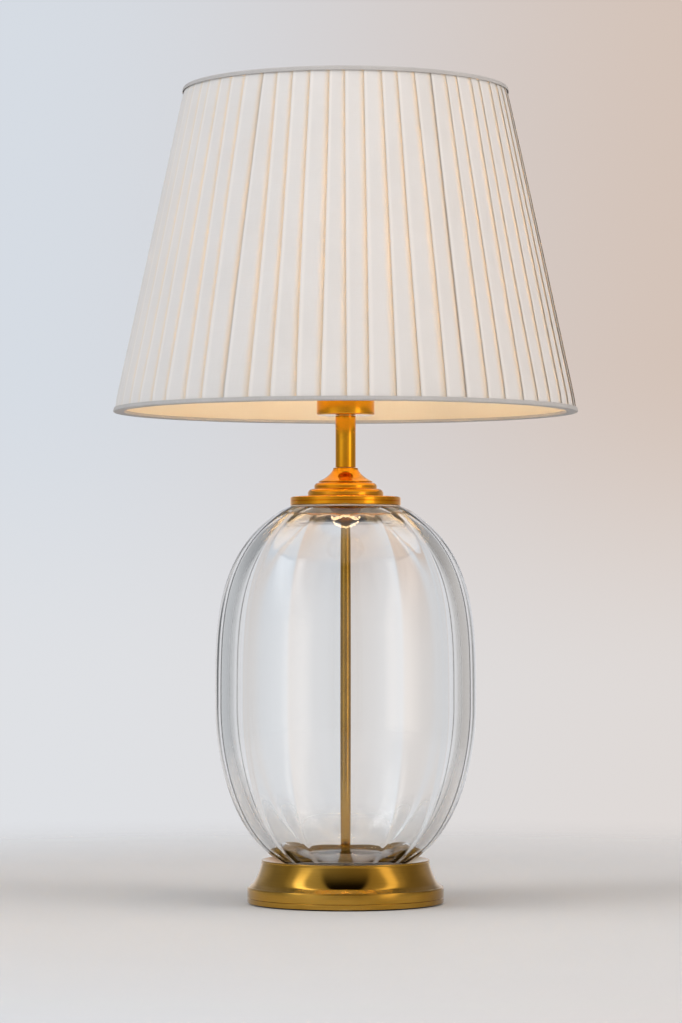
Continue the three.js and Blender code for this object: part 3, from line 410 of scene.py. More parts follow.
def woven(name, base, shade, pitch, through, glow_tint, relief, slub=0.25, pleat=0.0):
    """Plain weave, with the threads' pitch in metres, and, if pleat is their pitch, the knife pleats'
    painted highlights and shade and their stronger glow before each fold.
    """
    cloth = Finish(name)
    threads = cloth.put("UVMap", {"uv_map": "weave"}).outputs[0]
    split = cloth.put("SeparateXYZ", Vector=threads)
    turns = math.pi / pitch
    over = cloth.math("SINE", cloth.math("MULTIPLY", split.outputs[0], turns))
    under = cloth.math("SINE", cloth.math("MULTIPLY", split.outputs[1], turns))
    weave = cloth.math("MULTIPLY", over, under)
    warp = cloth.noise(cloth.stretched(threads, 1.6 / pitch, 60.0, 1.0), 1.0, 2.0)
    weft = cloth.noise(cloth.stretched(threads, 60.0, 1.6 / pitch, 1.0), 1.0, 2.0)
    slubs = cloth.math("ADD", warp, weft)
    clouds = cloth.noise(threads, 22.0, 3.0)
    tone = cloth.mix(cloth.spread(slubs, 0.7, 1.35, 0.0, slub), base, shade)
    tone = cloth.mix(cloth.spread(clouds, 0.35, 0.75, 0.0, 0.3), tone, shade)
    tone = cloth.mix(cloth.spread(weave, 0.2, -0.9, 0.0, 0.35), tone, shade)
    if pleat:
        tone, dive = pressed_creases(cloth, tone, split.outputs[0], pleat)
        through = cloth.math("ADD", through, cloth.math("MULTIPLY", dive, DIVE_GLOW))
    height = cloth.math("ADD", weave, cloth.math("MULTIPLY", slubs, 0.8))
    normal = cloth.bump(height, relief, 0.6)
    cloth.set(Base_Color=tone, Roughness=0.88, Normal=normal)
    cloth.set(Sheen_Weight=0.15, Sheen_Roughness=0.5, Specular_IOR_Level=0.25)
    lit = cloth.put("BsdfTranslucent", Color=cloth.mix(0.5, tone, glow_tint), Normal=normal)
    both = cloth.put("MixShader", **{"0": through, "1": cloth.shader.outputs[0], "2": lit.outputs[0]})
    cloth.tree.links.new(both.outputs[0], cloth.output.inputs["Surface"])
    print(f"{name}: {round(pitch / MM, 2)} mm weave")
    return cloth.material


pleated_fabric = woven(
    "pleated_fabric", colour(241, 239, 239), colour(228, 225, 223), 0.00042, 0.18,
    colour(255, 236, 206), 0.00006, pleat=MEAN_RADIUS * FULL_TURN / PLEATS,
)
lining_fabric = woven(
    "lining_fabric", colour(255, 249, 236), colour(246, 235, 214), 0.0006, 0.30,
    colour(255, 232, 190), 0.00006,
)
# The tape's grey, darker than the cover's cloth, is painted shade for where it turns under the rim.
binding_tape = woven(
    "binding_tape", colour(204, 201, 200), colour(180, 177, 176), 0.0009, 0.10,
    colour(250, 236, 214), 0.00016, 0.5,
)


# %% [markdown]
# The inside finishes are simple: felt under the base, zinc on the fixings, cast iron, rubbers,
# plastics, brass, the wires' sleeves, nickel and opal glass. Each still varies over its surface.

# %% Inside finishes
def mottled(name, light, dark, roughness, scale, relief=0.0, metallic=0.0, **extra):
    """A finish that varies in patches of 1/scale metres, with relief in metres."""
    made = Finish(name)
    place = made.place()
    patches = made.noise(place, scale, 5.0)
    fine = made.noise(place, scale * 7, 3.0)
    uneven = made.math("SUBTRACT", patches, 0.5)
    rough = made.math("ADD", roughness, made.math("MULTIPLY", uneven, 0.2))
    made.set(
        Base_Color=made.mix(made.spread(patches, 0.3, 0.7), light, dark),
        Roughness=rough,
        Metallic=metallic,
        **extra,
    )
    if relief:
        made.set(Normal=made.bump(fine, relief, 0.7))
    return made.material


FINISHES = {
    "antique_gold": antique_gold,
    "bright_gold": bright_gold,
    "clear_glass": clear_glass,
    "pleated_fabric": pleated_fabric,
    "lining_fabric": lining_fabric,
    "binding_tape": binding_tape,
    "felt": mottled(
        "felt", colour(58, 56, 54), colour(34, 33, 32), 0.95, 300, 0.0003, Sheen_Weight=0.4),
    "zinc_steel": mottled(
        "zinc_steel", colour(186, 188, 192), colour(150, 152, 158), 0.4, 160, 0.00002, 1.0),
    "cast_iron": mottled(
        "cast_iron", colour(78, 76, 75), colour(48, 47, 46), 0.75, 220, 0.0002, 0.5),
    "clear_rubber": mottled(
        "clear_rubber", colour(230, 220, 210), colour(216, 202, 190), 0.55, 120, 0.00003),
    "black_rubber": mottled(
        "black_rubber", colour(40, 38, 37), colour(26, 25, 24), 0.75, 180, 0.00004),
    "white_plastic": mottled(
        "white_plastic", colour(236, 232, 222), colour(224, 219, 207), 0.45, 90, 0.00002),
    "black_plastic": mottled(
        "black_plastic", colour(36, 35, 34), colour(24, 23, 22), 0.4, 90, 0.00002),
    "brass": mottled("brass", colour(222, 184, 98), colour(182, 142, 62), 0.34, 200, 0.00001, 1.0),
    "brown_wire": mottled("brown_wire", colour(104, 62, 34), colour(82, 46, 24), 0.5, 90),
    "blue_wire": mottled("blue_wire", colour(48, 92, 158), colour(36, 72, 132), 0.5, 90),
    "white_wire_coat": mottled(
        "white_wire_coat", colour(240, 238, 232), colour(226, 222, 213), 0.42, 140, 0.00004),
    "nickel": mottled("nickel", colour(204, 202, 196), colour(176, 173, 166), 0.28, 160, 0.00001, 1.0),
}
print(f"{len(FINISHES)} finishes")

# %% [markdown]
# The lamp is lit, so the bulb's opal globe gives the light itself. The globe glows evenly, with a
# slight falling off towards its neck, and the shade is lit by it and by nothing else inside.

# %% Opal glass
BULB_GLOW = 19.0  # emission strength of the globe, which falls off towards the neck

opal = Finish("opal_glass")
opal_height = opal.put("SeparateXYZ", Vector=opal.place()).outputs[2]
opal_tone = opal.mix(
    opal.spread(opal_height, 0.43, 0.47), colour(236, 222, 200), colour(255, 248, 236)
)
opal.set(
    Base_Color=opal_tone,
    Roughness=0.25,
    Emission_Color=colour(255, 220, 172),
    Emission_Strength=opal.spread(opal_height, 0.425, 0.47, 0.4 * BULB_GLOW, BULB_GLOW),
)
FINISHES["opal_glass"] = opal.material
print("opal globe glows")

# %% Give the carried-over nodes their finishes
FITTER_ARMS = [f"fitter_arm_{i}" for i in range(1, 4)]
STRUTS = [f"strut_{i}" for i in range(1, 7)]
CARRIED = {
    "felt": ["felt_pad"],
    "zinc_steel": ["bottom_plate", "plate_screw_1", "plate_screw_2", "plate_screw_3", "lamp_pipe",
                   "lower_nut", "lower_washer", "upper_nut"],
    "cast_iron": ["base_weight"],
    "black_rubber": ["cord_inlet_grommet"],
    "black_plastic": ["terminal_block"],
    "brown_wire": ["live_lead"],
    "blue_wire": ["neutral_lead"],
    "white_plastic": ["holder_base", "holder_barrel", "bulb_insulator"],
    "brass": ["live_terminal", "neutral_terminal", "screw_shell", "side_contact", "centre_contact",
              "bulb_tip"],
    "nickel": ["bulb_cap"],
    "white_wire_coat": ["shade_clamp_ring", "fitter_ring", "top_ring", "bottom_ring",
                        *FITTER_ARMS, *STRUTS],
}
for finish, names in CARRIED.items():
    for name in names:
        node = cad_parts[name]
        if node.material_slots:
            node.material_slots[0].material = FINISHES[finish]
        else:
            node.data.materials.append(FINISHES[finish])
print(f"{sum(len(names) for names in CARRIED.values())} nodes keep their CAD shape")

# %% [markdown]
# ## Turned pieces
# Almost everything on the lamp is turned. On a lathe a tool follows an outline while the work spins,
# and here the same is done: one vertex is drawn along the outline by extrusion, and the outline is
# spun round the axis. Rounded corners go into the outline itself, because a lathe leaves no knife
# edges, and because it is the rounded corner that catches the light.

# %% Draw and spin an outline
def select_nothing():
    if bpy.context.mode != "OBJECT":
        bpy.ops.object.mode_set(mode="OBJECT")
    bpy.ops.object.select_all(action="DESELECT")


def rounded(corners, steps=5):
    """Corners (radius, height, rounding) in mm, as outline points with each rounding drawn."""
    outline = []
    for i, (radius, height, rounding) in enumerate(corners):
        here = np.array((radius, height), float)
        if not rounding:
            outline.append(here)
            continue
        before = np.array(corners[i - 1][:2], float) - here
        after = np.array(corners[(i + 1) % len(corners)][:2], float) - here
        start = here + before / np.linalg.norm(before) * rounding
        end = here + after / np.linalg.norm(after) * rounding
        for k in range(steps + 1):
            t = k / steps
            outline.append((1 - t) ** 2 * start + 2 * t * (1 - t) * here + t**2 * end)
    return [tuple(point) for point in outline]


def curve(start, middle, end, steps=10):
    """Points of a stroke that leaves start towards middle and comes into end from it."""
    start, middle, end = (np.array(point, float) for point in (start, middle, end))
    shares = [k / steps for k in range(1, steps)]
    return [tuple((1 - t) ** 2 * start + 2 * t * (1 - t) * middle + t**2 * end) + (0,) for t in shares]


def one_vertex(name, radius, height):
    """A new piece that is a single vertex at (radius, height) mm, left in edit mode."""
    select_nothing()
    bpy.ops.mesh.primitive_plane_add(size=MM, location=(radius * MM, 0, height * MM))
    piece = bpy.context.object
    piece.name = piece.data.name = name
    bpy.ops.object.transform_apply(location=True, rotation=True, scale=True)
    bpy.ops.object.mode_set(mode="EDIT")
    bpy.ops.mesh.select_all(action="SELECT")
    bpy.ops.mesh.merge(type="CENTER")
    return piece


SAME_PLACE = 0.000003  # metres, under which two vertices are one


def spun(name, outline, steps=128, smooth=32):
    """A closed outline of (radius, height) in mm, drawn vertex by vertex and spun round the axis."""
    piece = one_vertex(name, *outline[0])
    here = outline[0]
    for there in [*outline[1:], outline[0]]:
        step = ((there[0] - here[0]) * MM, 0, (there[1] - here[1]) * MM)
        bpy.ops.mesh.extrude_vertices_move(TRANSFORM_OT_translate={"value": step})
        here = there
    bpy.ops.mesh.select_all(action="SELECT")
    bpy.ops.mesh.remove_doubles(threshold=SAME_PLACE)
    bpy.ops.mesh.spin(steps=steps, angle=FULL_TURN, center=(0, 0, 0), axis=(0, 0, 1))
    bpy.ops.mesh.select_all(action="SELECT")
    bpy.ops.mesh.remove_doubles(threshold=SAME_PLACE)
    bpy.ops.mesh.normals_make_consistent(inside=False)
    bpy.ops.object.mode_set(mode="OBJECT")
    bpy.ops.object.shade_smooth_by_angle(angle=math.radians(smooth))
    return piece


def finished(piece, body, finish, *stands_for):
    """Gives a piece its finish and its body, and hides the CAD nodes that it stands for."""
    piece.data.materials.clear()
    piece.data.materials.append(FINISHES[finish])
    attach(piece, body)
    if stands_for:
        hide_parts(*stands_for)
    spans = [round(side / MM, 1) for side in piece.dimensions]
    print(f"{piece.name}: {spans} mm, {len(piece.data.polygons)} faces")


print("lathe ready")

# %% [markdown]
# The base is a spun brass shell: an upright band, a sloping ledge, a hollow flare up to the rim, and
# a shallow dish that the glass stands in. It is drawn as one outline, outside up and inside down.
# The flare is a long hollow stroke, since its curve is what throws the two bright flanks of light.

# %% Base shell
BAND, BAND_TOP = 75.3, 12.8
FLARE_FOOT = (71.0, 15.8)
RIM, BASE_TOP = 64.6, 33.6
SEAT, SEAT_TOP = 47.0, 27.4
WALL = 1.6
BORE = 5.3

outline = rounded([
    (BAND, 1.0, 0.5),
    (BAND, 4.6, 0),
    (BAND - 0.25, 4.9, 0),
    (BAND, 5.2, 0),
    (BAND, BAND_TOP, 1.0),
    (BAND - 1.3, BAND_TOP + 0.5, 0.4),
    (*FLARE_FOOT, 0.7),
    *curve(FLARE_FOOT, (RIM + 2.0, 21.8), (RIM - 0.3, BASE_TOP - 1.4), 14),
    (RIM - 0.3, BASE_TOP - 1.6, 0),
    (RIM, BASE_TOP, 0.8),
    (RIM - 1.5, BASE_TOP, 0.6),
    *curve((RIM - 1.5, BASE_TOP), (55.8, 32.1), (SEAT, SEAT_TOP), 10),
    (SEAT, SEAT_TOP, 1.2),
    (BORE, SEAT_TOP, 0),
    (BORE, SEAT_TOP - WALL, 0),
    (SEAT, SEAT_TOP - WALL, 1.2),
    *curve((SEAT, SEAT_TOP - WALL), (55.8, 30.5), (RIM - WALL - 0.3, 31.4), 8),
    (RIM - WALL - 0.3, 31.4, 0.4),
    *curve((RIM - WALL, 31.4), (RIM + 0.4, 21.8), (FLARE_FOOT[0] - WALL, FLARE_FOOT[1]), 8),
    (FLARE_FOOT[0] - WALL, FLARE_FOOT[1] - 0.4, 0.5),
    (BAND - WALL, BAND_TOP - 1.2, 0.5),
    (BAND - WALL, 1.0, 0.3),
])
base = spun("base_shell_spun", outline, 160)
finished(base, "stand", "antique_gold", "base_shell")

# %% [markdown]
# The collar is a stack of turned rings: a flat flange with a boss inside the glass mouth, a ring with
# two steps, and a hollow cone up to the stem. Real ones are turned and lacquered separately, with
# a fine line of shadow between them, so they stay separate here.

# %% Collar flange
FLANGE, FLANGE_FOOT, FLANGE_TOP = 42.5, 305.0, 311.5
SPIGOT, SPIGOT_FOOT = 27.0, 299.0
SEAM = 0.3  # the shadow gap between pieces

outline = rounded([
    (BORE, SPIGOT_FOOT, 0), (SPIGOT, SPIGOT_FOOT, 0.5), (SPIGOT, FLANGE_FOOT, 0),
    (FLANGE, FLANGE_FOOT, 0.9), (FLANGE, 307.9, 0), (FLANGE - 0.3, 308.15, 0), (FLANGE, 308.4, 0),
    (FLANGE, FLANGE_TOP, 1.5),
    (31.0, FLANGE_TOP, 0), (30.7, FLANGE_TOP - 0.2, 0), (30.4, FLANGE_TOP, 0), (BORE, FLANGE_TOP, 0),
])
finished(spun("collar_flange_turned", outline, 144), "stand", "bright_gold", "collar_flange")

# %% Step ring and neck cone
STEP, UPPER_STEP = 29.0, 24.0
RING_FOOT, RING_TOP = FLANGE_TOP + SEAM, 322.2
CONE_FOOT, CONE_TOP = RING_TOP + SEAM, 333.6
CONE, CONE_NECK = 20.7, 9.6

outline = rounded([
    (BORE, RING_FOOT, 0), (STEP, RING_FOOT, 0.4), (STEP + 0.2, 314.6, 0), (STEP - 0.8, 316.6, 0.8),
    (STEP - 2.8, 317.4, 0.5), (UPPER_STEP, 317.8, 0.4), (UPPER_STEP + 0.2, 319.9, 0),
    (UPPER_STEP - 0.8, 321.6, 0.7), (UPPER_STEP - 2.8, RING_TOP, 0.4), (BORE, RING_TOP, 0),
])
finished(spun("step_ring_turned", outline, 128), "stand", "bright_gold", "step_ring")

outline = rounded([
    (BORE, CONE_FOOT, 0), (CONE, CONE_FOOT, 0.3), (CONE, CONE_FOOT + 0.8, 0.3),
    *curve((CONE - 0.5, CONE_FOOT + 1.0), (12.0, 327.3), (CONE_NECK, CONE_TOP - 1.0), 14),
    (CONE_NECK, CONE_TOP - 0.9, 0.2), (CONE_NECK - 0.1, CONE_TOP, 0.3), (BORE, CONE_TOP, 0),
])
finished(spun("neck_cone_turned", outline, 112), "stand", "bright_gold", "neck_cone")

# %% [markdown]
# The stem is drawn tube, and the cup a deep pressing with a rounded lower edge. Only the cup's lower
# part shows below the shade, but the whole cup is made, since it is seen from underneath.

# %% Stem and cup
STEM, STEM_BORE = 7.8, 6.6
STEM_FOOT, STEM_TOP = CONE_TOP + SEAM, 373.7
CUP, CUP_FOOT, CUP_TOP = 22.15, STEM_TOP + SEAM, 410.0
CUP_WALL = 1.2
GROOVE = 386.3

outline = rounded([
    (STEM_BORE, STEM_FOOT, 0), (STEM, STEM_FOOT, 0.3), (STEM, STEM_TOP, 0.3), (STEM_BORE, STEM_TOP, 0),
])
finished(spun("stem_tube_drawn", outline, 96), "stand", "bright_gold", "stem_tube")

outline = rounded([
    (BORE, CUP_FOOT, 0), (CUP, CUP_FOOT, 1.6), (CUP, GROOVE - 0.3, 0), (CUP - 0.2, GROOVE, 0),
    (CUP, GROOVE + 0.3, 0), (CUP, CUP_TOP, 0.3), (CUP - CUP_WALL, CUP_TOP, 0.3),
    (CUP - CUP_WALL, CUP_FOOT + CUP_WALL, 0.8), (BORE, CUP_FOOT + CUP_WALL, 0),
])
finished(spun("holder_cup_pressed", outline, 112), "stand", "bright_gold", "holder_cup")

# %% [markdown]
# The rod inside the glass is a thin gold tube over the lamp pipe, between the base's dish and the
# collar's boss. Two pale rubber rings keep the glass off the metal.

# %% Centre rod and gaskets
ROD = 6.0
ROD_FOOT, ROD_TOP = SEAT_TOP + SEAM, SPIGOT_FOOT - SEAM
outline = rounded([(BORE, ROD_FOOT, 0), (ROD, ROD_FOOT, 0.2), (ROD, ROD_TOP, 0.2), (BORE, ROD_TOP, 0)])
finished(spun("centre_rod_tube", outline, 64), "stand", "antique_gold", "centre_rod")


def flat_ring(inside, outside, low, high, inner_soft, outer_soft):
    """A flat ring's section, a little rounder at its outer corners."""
    return rounded([
        (inside, low, inner_soft), (outside, low, outer_soft),
        (outside, high, outer_soft), (inside, high, inner_soft),
    ])


seat_ring = spun("seat_gasket_ring", flat_ring(7.3, 44.6, ROD_FOOT, 29.2, 0.3, 0.4), 96)
finished(seat_ring, "stand", "clear_rubber", "seat_gasket")
neck_ring = spun("neck_gasket_ring", flat_ring(28.4, 42.2, 303.9, 304.7, 0.2, 0.25), 96)
finished(neck_ring, "stand", "clear_rubber", "neck_gasket")

# %% [markdown]
# ## The glass body
# The glass is a thick barrel with fourteen soft lobes. It could be sculpted, but a mould makes it, and
# the way here copies the mould: the plain barrel is spun first, with its wall, floor and mouth. Each
# vertex then gets a weight, heaviest at the creases and fading out at both ends, and a displace
# modifier presses the outside in by that weight. The inside follows by a little over half as much,
# and that difference in slope is what makes the rod look thin through the front crease.

# %% Plain barrel
GLASS_FOOT, GLASS_TOP, GLASS_BELLY = 29.5, 303.6, 100.2
BELLY_RISE = 120.5
GLASS_WALL, GLASS_FLOOR, MOUTH = 7.0, 6.0, 28.0
LOBES, LOBE_DEPTH, LOBE_FADE = 14, 1.6, 14.0
INSIDE_SHARE = 0.56
CREASE_ROUND = 0.012
FLUTES_FROM = 44.0  # the foot and the mouth inside this radius stay plain


def barrel_end(span, end_radius, fullness, roundness):
    """Radius at a distance from the belly, for one end of the barrel."""
    end_share = (1 - (end_radius / GLASS_BELLY) ** roundness) ** (1 / fullness)
    return lambda distance: GLASS_BELLY * (
        1 - (distance / span * end_share) ** fullness
    ) ** (1 / roundness)


def barrel_outline(steps):
    lower = barrel_end(BELLY_RISE, 44.9, 1.83, 3.0)
    above = GLASS_TOP - GLASS_FOOT - BELLY_RISE
    upper = barrel_end(above, 44.6, 3.4, 2.0)
    points = []
    for i in range(-steps, steps + 1):
        share = math.sin(abs(i) / steps * math.pi / 2)
        if i < 0:
            points.append((lower(share * BELLY_RISE), GLASS_FOOT + BELLY_RISE * (1 - share)))
        else:
            points.append((upper(share * above), GLASS_FOOT + BELLY_RISE + share * above))
    return points


outside = barrel_outline(34)
inside = []
for before, here, after in zip(outside, outside[1:], outside[2:]):
    along = np.array(after) - np.array(before)
    along /= np.linalg.norm(along)
    radius, height = here[0] - along[1] * GLASS_WALL, here[1] + along[0] * GLASS_WALL
    kept = GLASS_FOOT + GLASS_FLOOR + 2 < height < GLASS_TOP - GLASS_WALL - 1.5 and radius > MOUTH + 2
    if kept:
        inside.append((radius, height))
outline = [
    *rounded([(7.0, GLASS_FOOT + 1, 0), (7.0, GLASS_FOOT, 0.6), (44.0, GLASS_FOOT, 0)]),
    *outside[1:-1],
    *rounded([(43.0, GLASS_TOP, 0), (MOUTH, GLASS_TOP, 1.4), (MOUTH, GLASS_TOP - GLASS_WALL, 1.4),
              (30.5, GLASS_TOP - GLASS_WALL - 0.4, 0)])[:-1],
    *reversed(inside),
    *rounded([(46.5, GLASS_FOOT + GLASS_FLOOR + 0.9, 0), (40.0, GLASS_FOOT + GLASS_FLOOR, 2.0),
              (7.0, GLASS_FOOT + GLASS_FLOOR, 0.6), (7.0, GLASS_FOOT + GLASS_FLOOR - 1, 0)])[1:],
]
barrel = spun("glass_body_blown", outline, LOBES * 16, 60)
print(f"plain barrel: {len(outline)} points round its wall")


# %% Press in the flutes
def pressed_by_weight(piece, group_name, weights, depth):
    """Moves each vertex along its normal by depth (metres) times its weight."""
    select_nothing()
    group = piece.vertex_groups.new(name=group_name)
    for index in np.flatnonzero(weights > 0.0005):
        group.add([int(index)], float(weights[index]), "REPLACE")
    bpy.context.view_layer.objects.active = piece
    piece.select_set(True)
    press = piece.modifiers.new(group_name, "DISPLACE")
    press.vertex_group = group_name
    press.mid_level = 0.0
    press.strength = depth
    bpy.ops.object.modifier_apply(modifier=press.name)
    piece.vertex_groups.clear()


def places(piece):
    """The piece's vertices as an array, in mm."""
    flat = np.empty(3 * len(piece.data.vertices), np.float32)
    piece.data.vertices.foreach_get("co", flat)
    return flat.reshape(-1, 3).astype(float) / MM


def outward(piece):
    """True for each vertex whose surface faces away from the axis."""
    normals = np.empty(3 * len(piece.data.vertices), np.float32)
    piece.data.vertices.foreach_get("normal", normals)
    points, normals = places(piece), normals.reshape(-1, 3)
    return (points[:, :2] * normals[:, :2]).sum(1) > 0


points = places(barrel)
radius = np.hypot(points[:, 0], points[:, 1])
from_front = np.arctan2(points[:, 0], -points[:, 1])
to_end = np.minimum(points[:, 2] - GLASS_FOOT, GLASS_TOP - points[:, 2])
fade = np.clip(to_end / LOBE_FADE, 0, 1)
fade = fade * fade * (3 - 2 * fade)
crease = 1 - np.sqrt(np.sin(LOBES / 2 * from_front) ** 2 + CREASE_ROUND)
flute = np.where(radius > FLUTES_FROM, np.clip(crease, 0, 1) * fade, 0)
outer = outward(barrel)
pressed_by_weight(barrel, "outer_flutes", flute * outer, -LOBE_DEPTH * MM)
pressed_by_weight(barrel, "inner_flutes", flute * ~outer, INSIDE_SHARE * LOBE_DEPTH * MM)
finished(barrel, "stand", "clear_glass", "glass_body")

# %% [markdown]
# ## The bulb
# A round opal bulb, as its maker would blow it: a globe that runs into a short neck in the cap.

# %% Bulb globe
GLOBE, GLOBE_CENTRE, NECK = 30.0, 471.7, 12.2
join = -math.pi / 3.6
meets = (GLOBE * math.cos(join), GLOBE_CENTRE + GLOBE * math.sin(join))
outline = [(NECK, 414.5), (NECK, 427.5)]
outline += [point[:2] for point in curve((NECK, 427.5), (NECK + 1.2, 438.5), meets, 10)]
for k in range(29):
    angle = join + (math.pi / 2 - join) * k / 28
    outline.append((GLOBE * math.cos(angle) if k < 28 else 0.0, GLOBE_CENTRE + GLOBE * math.sin(angle)))
outline += [(0.0, 500.7), (0.0, 440.0), (NECK - 1, 432.0), (NECK - 1, 414.5)]
finished(spun("bulb_globe_blown", outline, 64, 50), "bulb", "opal_glass", "bulb_globe")

# %% [markdown]
# ## The shade
# The cover is one long strip of thin cloth, pressed into knife pleats that all lie the same way. Under
# each fold the cloth is three layers thick and looks pale, and between folds it is one layer, where
# the light comes through warm. A bump pattern couldn't do that, so the folds are real: one pleat is
# drawn in plan, copied round the rim, and pulled up the cone row by row.

# %% Pleated cover
SHADE_FOOT, SHADE_TOP = 376.0, 624.0
FOOT_RADIUS, TOP_RADIUS = 178.0, 124.5
UNDERLAP = 0.74  # how much of each pleat lies over the two layers of its fold
COVER_ROWS = 26
INNER_INSET, OUTER_INSET = 2.2, 0.9


def cone(height, inset=0.0):
    """The shade's outer radius at a height, less an inset, in mm."""
    share = (height - SHADE_FOOT) / (SHADE_TOP - SHADE_FOOT)
    return FOOT_RADIUS + (TOP_RADIUS - FOOT_RADIUS) * share - inset


def pulled_up(heights, inset):
    """Extrudes the selected edges to each height in turn, and draws them in to the cone."""
    for low, high in zip(heights, heights[1:]):
        bpy.ops.mesh.extrude_edges_move(TRANSFORM_OT_translate={"value": (0, 0, (high - low) * MM)})
        share = cone(high, inset) / cone(low, inset)
        bpy.ops.transform.resize(value=(share, share, 1), center_override=(0, 0, high * MM))


CUT_BACK = 0.8  # how far inside each tape's fold the cloth's raw edge stops
foot, head = SHADE_FOOT + CUT_BACK, SHADE_TOP - CUT_BACK
rows = [foot + (head - foot) * i / COVER_ROWS for i in range(COVER_ROWS + 1)]
pitch = FULL_TURN / PLEATS
plan = []
for share in (-UNDERLAP, -0.35, -0.02, 0.14, 0.32, 0.5, 0.68, 0.84, 0.97, 1.0):
    lift = (share + UNDERLAP) / (1 + UNDERLAP)
    plan.append((-share * pitch, cone(foot, INNER_INSET) + (INNER_INSET - OUTER_INSET) * lift**0.9))
for share in (0.97, 0.75, 0.5, 1 - UNDERLAP):
    lift = 1 - (1 - share) / UNDERLAP
    plan.append((-share * pitch, cone(foot, INNER_INSET) + (INNER_INSET - OUTER_INSET) * 0.97 * lift))

start = [(radius * math.cos(angle), radius * math.sin(angle)) for angle, radius in plan]
cover = one_vertex("pleated_cover_folded", start[0][0], foot)
bpy.ops.transform.translate(value=(0, start[0][1] * MM, 0))
for here, there in zip(start, start[1:]):
    step = ((there[0] - here[0]) * MM, (there[1] - here[1]) * MM, 0)
    bpy.ops.mesh.extrude_vertices_move(TRANSFORM_OT_translate={"value": step})
bpy.ops.mesh.select_all(action="SELECT")
bpy.ops.mesh.spin(steps=PLEATS, dupli=True, angle=FULL_TURN, center=(0, 0, 0), axis=(0, 0, 1))
bpy.ops.mesh.select_all(action="SELECT")
bpy.ops.mesh.remove_doubles(threshold=0.00002)
pulled_up(rows, INNER_INSET)
bpy.ops.object.mode_set(mode="OBJECT")
print(f"cover: {PLEATS} pleats, {len(cover.data.polygons)} faces")

# %% [markdown]
# Pressed by hand, no two pleats are quite alike. Each fold is moved a little along the rim, and each
# panel bellies out by a fraction of a millimetre between the rims, where the tape doesn't hold it.
# Everything at one angle moves together, so the layers never cross.

# %% Ease the pleats
def put_back(piece, points):
    piece.data.vertices.foreach_set("co", (points * MM).astype(np.float32).ravel())
    piece.data.update()


dice = np.random.default_rng(7)


def round_the_rim(size, count=PLEATS):
    """A gentle random value for each angle, the same again after a full turn."""
    values = dice.uniform(-size, size, count)
    marks = np.arange(count + 1) / count * FULL_TURN
    return lambda angle: np.interp(angle % FULL_TURN, marks, np.append(values, values[0]))


points = places(cover)
angle, radius = np.arctan2(points[:, 1], points[:, 0]), np.hypot(points[:, 0], points[:, 1])
rise = (points[:, 2] - foot) / (head - foot)
inner = cone(points[:, 2], INNER_INSET)
hold = np.clip(np.minimum(rise, 1 - rise) / 0.05, 0, 1)
belly = 0.86 + 0.62 * hold * hold * (3 - 2 * hold)
slant_foot, slant_head, slant_mid = round_the_rim(0.10), round_the_rim(0.13), round_the_rim(0.06)
swing = slant_foot(angle) * (1 - rise) + slant_head(angle) * rise
swing = (swing + slant_mid(angle) * np.sin(math.pi * rise)) * pitch
puff = round_the_rim(0.28)(angle) * hold * np.sin(math.pi * rise)
strut_turn = FULL_TURN / len(STRUTS)
to_strut = (angle + strut_turn / 2) % strut_turn - strut_turn / 2
puff -= 0.3 * np.exp(-((to_strut / (0.06 * pitch)) ** 2))
radius = inner + (radius - inner) * belly + puff
points[:, 0], points[:, 1] = radius * np.cos(angle + swing), radius * np.sin(angle + swing)
put_back(cover, points)


def weave_map(piece, along, up):
    """Writes the weave map: metres along the cloth and up it, for each corner of each face."""
    data = piece.data
    loops = np.empty(len(data.loops), np.int32)
    data.loops.foreach_get("vertex_index", loops)
    starts = np.empty(len(data.polygons), np.int32)
    data.polygons.foreach_get("loop_start", starts)
    u, v = along[loops].copy(), up[loops]
    turn = along.max() - along.min()
    highest = np.repeat(np.maximum.reduceat(u, starts), np.diff(np.append(starts, len(loops))))
    u[highest - u > turn / 2] += turn
    layer = data.uv_layers.get("weave") or data.uv_layers.new(name="weave")
    layer.data.foreach_set("uv", np.column_stack([u, v]).astype(np.float32).ravel())


weave_map(cover, angle * MEAN_RADIUS, points[:, 2] * MM)
select_nothing()
cover.select_set(True)
bpy.context.view_layer.objects.active = cover
bpy.ops.object.shade_smooth_by_angle(angle=math.radians(40))
finished(cover, "shade", "pleated_fabric", "pleated_cover")

# %% [markdown]
# The lining is stretched cloth, glued to the wires at both rims and sewn to the struts, so between
# struts it draws in a little towards the axis. It is a cone pulled up from a circle, drawn in by
# weight. It is one layer: the cloth is thinner than the tape that covers its edges.

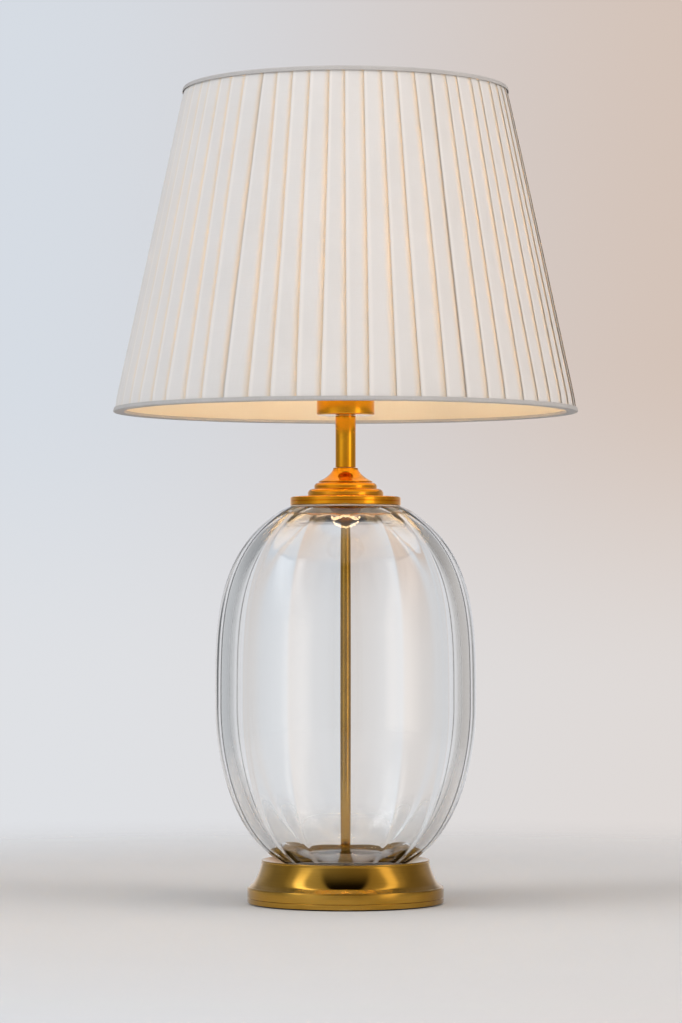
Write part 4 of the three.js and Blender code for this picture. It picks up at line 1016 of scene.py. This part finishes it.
# %% Lining
LINING_INSET = 7.4
LINING_ROWS = 18
rows = [foot + (head - foot) * i / LINING_ROWS for i in range(LINING_ROWS + 1)]
select_nothing()
bpy.ops.mesh.primitive_circle_add(
    vertices=216, radius=cone(foot, LINING_INSET) * MM, location=(0, 0, foot * MM))
lining = bpy.context.object
lining.name = lining.data.name = "shade_lining_stretched"
bpy.ops.object.transform_apply(location=True, rotation=True, scale=True)
bpy.ops.object.mode_set(mode="EDIT")
bpy.ops.mesh.select_all(action="SELECT")
pulled_up(rows, LINING_INSET)
bpy.ops.mesh.select_all(action="SELECT")
bpy.ops.mesh.normals_make_consistent(inside=False)
bpy.ops.object.mode_set(mode="OBJECT")
points = places(lining)
angle = np.arctan2(points[:, 1], points[:, 0])
rise = np.clip((points[:, 2] - foot) / (head - foot), 0, 1)
between = np.sin(3 * angle) ** 2
faces_out = bool(outward(lining).mean() > 0.5)
draw_in = between * np.sin(math.pi * rise) ** 0.7
pressed_by_weight(lining, "drawn_in", draw_in, (-1.6 if faces_out else 1.6) * MM)
weave_map(lining, angle * MEAN_RADIUS, points[:, 2] * MM)
bpy.ops.object.shade_smooth()
finished(lining, "shade", "lining_fabric", "shade_lining")

# %% [markdown]
# A tape folded over each rim covers the raw edges of both cloths. It is a plain weave, cut on the
# straight and glued, and its grey, darker than the cover's cloth, is painted shade for where it turns
# under the rim. In section it is a narrow U, drawn as an outline and spun, so that its fold is round
# and its two edges cast the fine line of shadow that shows on a bound rim.

# %% Binding tapes
TAPE_OUTER_LEG, TAPE_INNER_LEG = 3.2, 2.4


def bound_rim(name, edge, inward, stands_for):
    """A tape folded over the rim at height edge. inward is 1 at the foot and -1 at the top."""
    def corner(inset, rise, rounding=0.0):
        height = edge + inward * rise
        return (cone(height, inset), height, rounding)

    outline = rounded([
        corner(0.1, TAPE_OUTER_LEG, 0.12), corner(0.0, 1.6), corner(0.0, 0.0, 1.1),
        corner(8.65, 0.0, 1.1), corner(8.65, TAPE_INNER_LEG, 0.12),
        corner(8.15, TAPE_INNER_LEG, 0.12),
        corner(8.15, 0.55, 0.6), corner(0.5, 0.55, 0.6), corner(0.6, TAPE_OUTER_LEG, 0.12),
    ])
    tape = spun(name, outline, 240, 40)
    points = places(tape)
    angle = np.arctan2(points[:, 1], points[:, 0])
    across = points[:, 2] + np.hypot(points[:, 0], points[:, 1])
    weave_map(tape, angle * cone(edge) * MM, across * MM)
    finished(tape, "shade", "binding_tape", stands_for)


bound_rim("bottom_binding_tape", SHADE_FOOT, 1, "bottom_binding")
bound_rim("top_binding_tape", SHADE_TOP, -1, "top_binding")

# %% [markdown]
# ## Measure and finish
# The difference between the visual model's box and the frame's box is printed.

# %% Measure the sizes and finish
low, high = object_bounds()
grown = [round(1000 * (b - a), 2) for a, b in zip(cad_high - cad_low, high - low)]
print(f"the visual model is larger than the frame by {grown} mm")
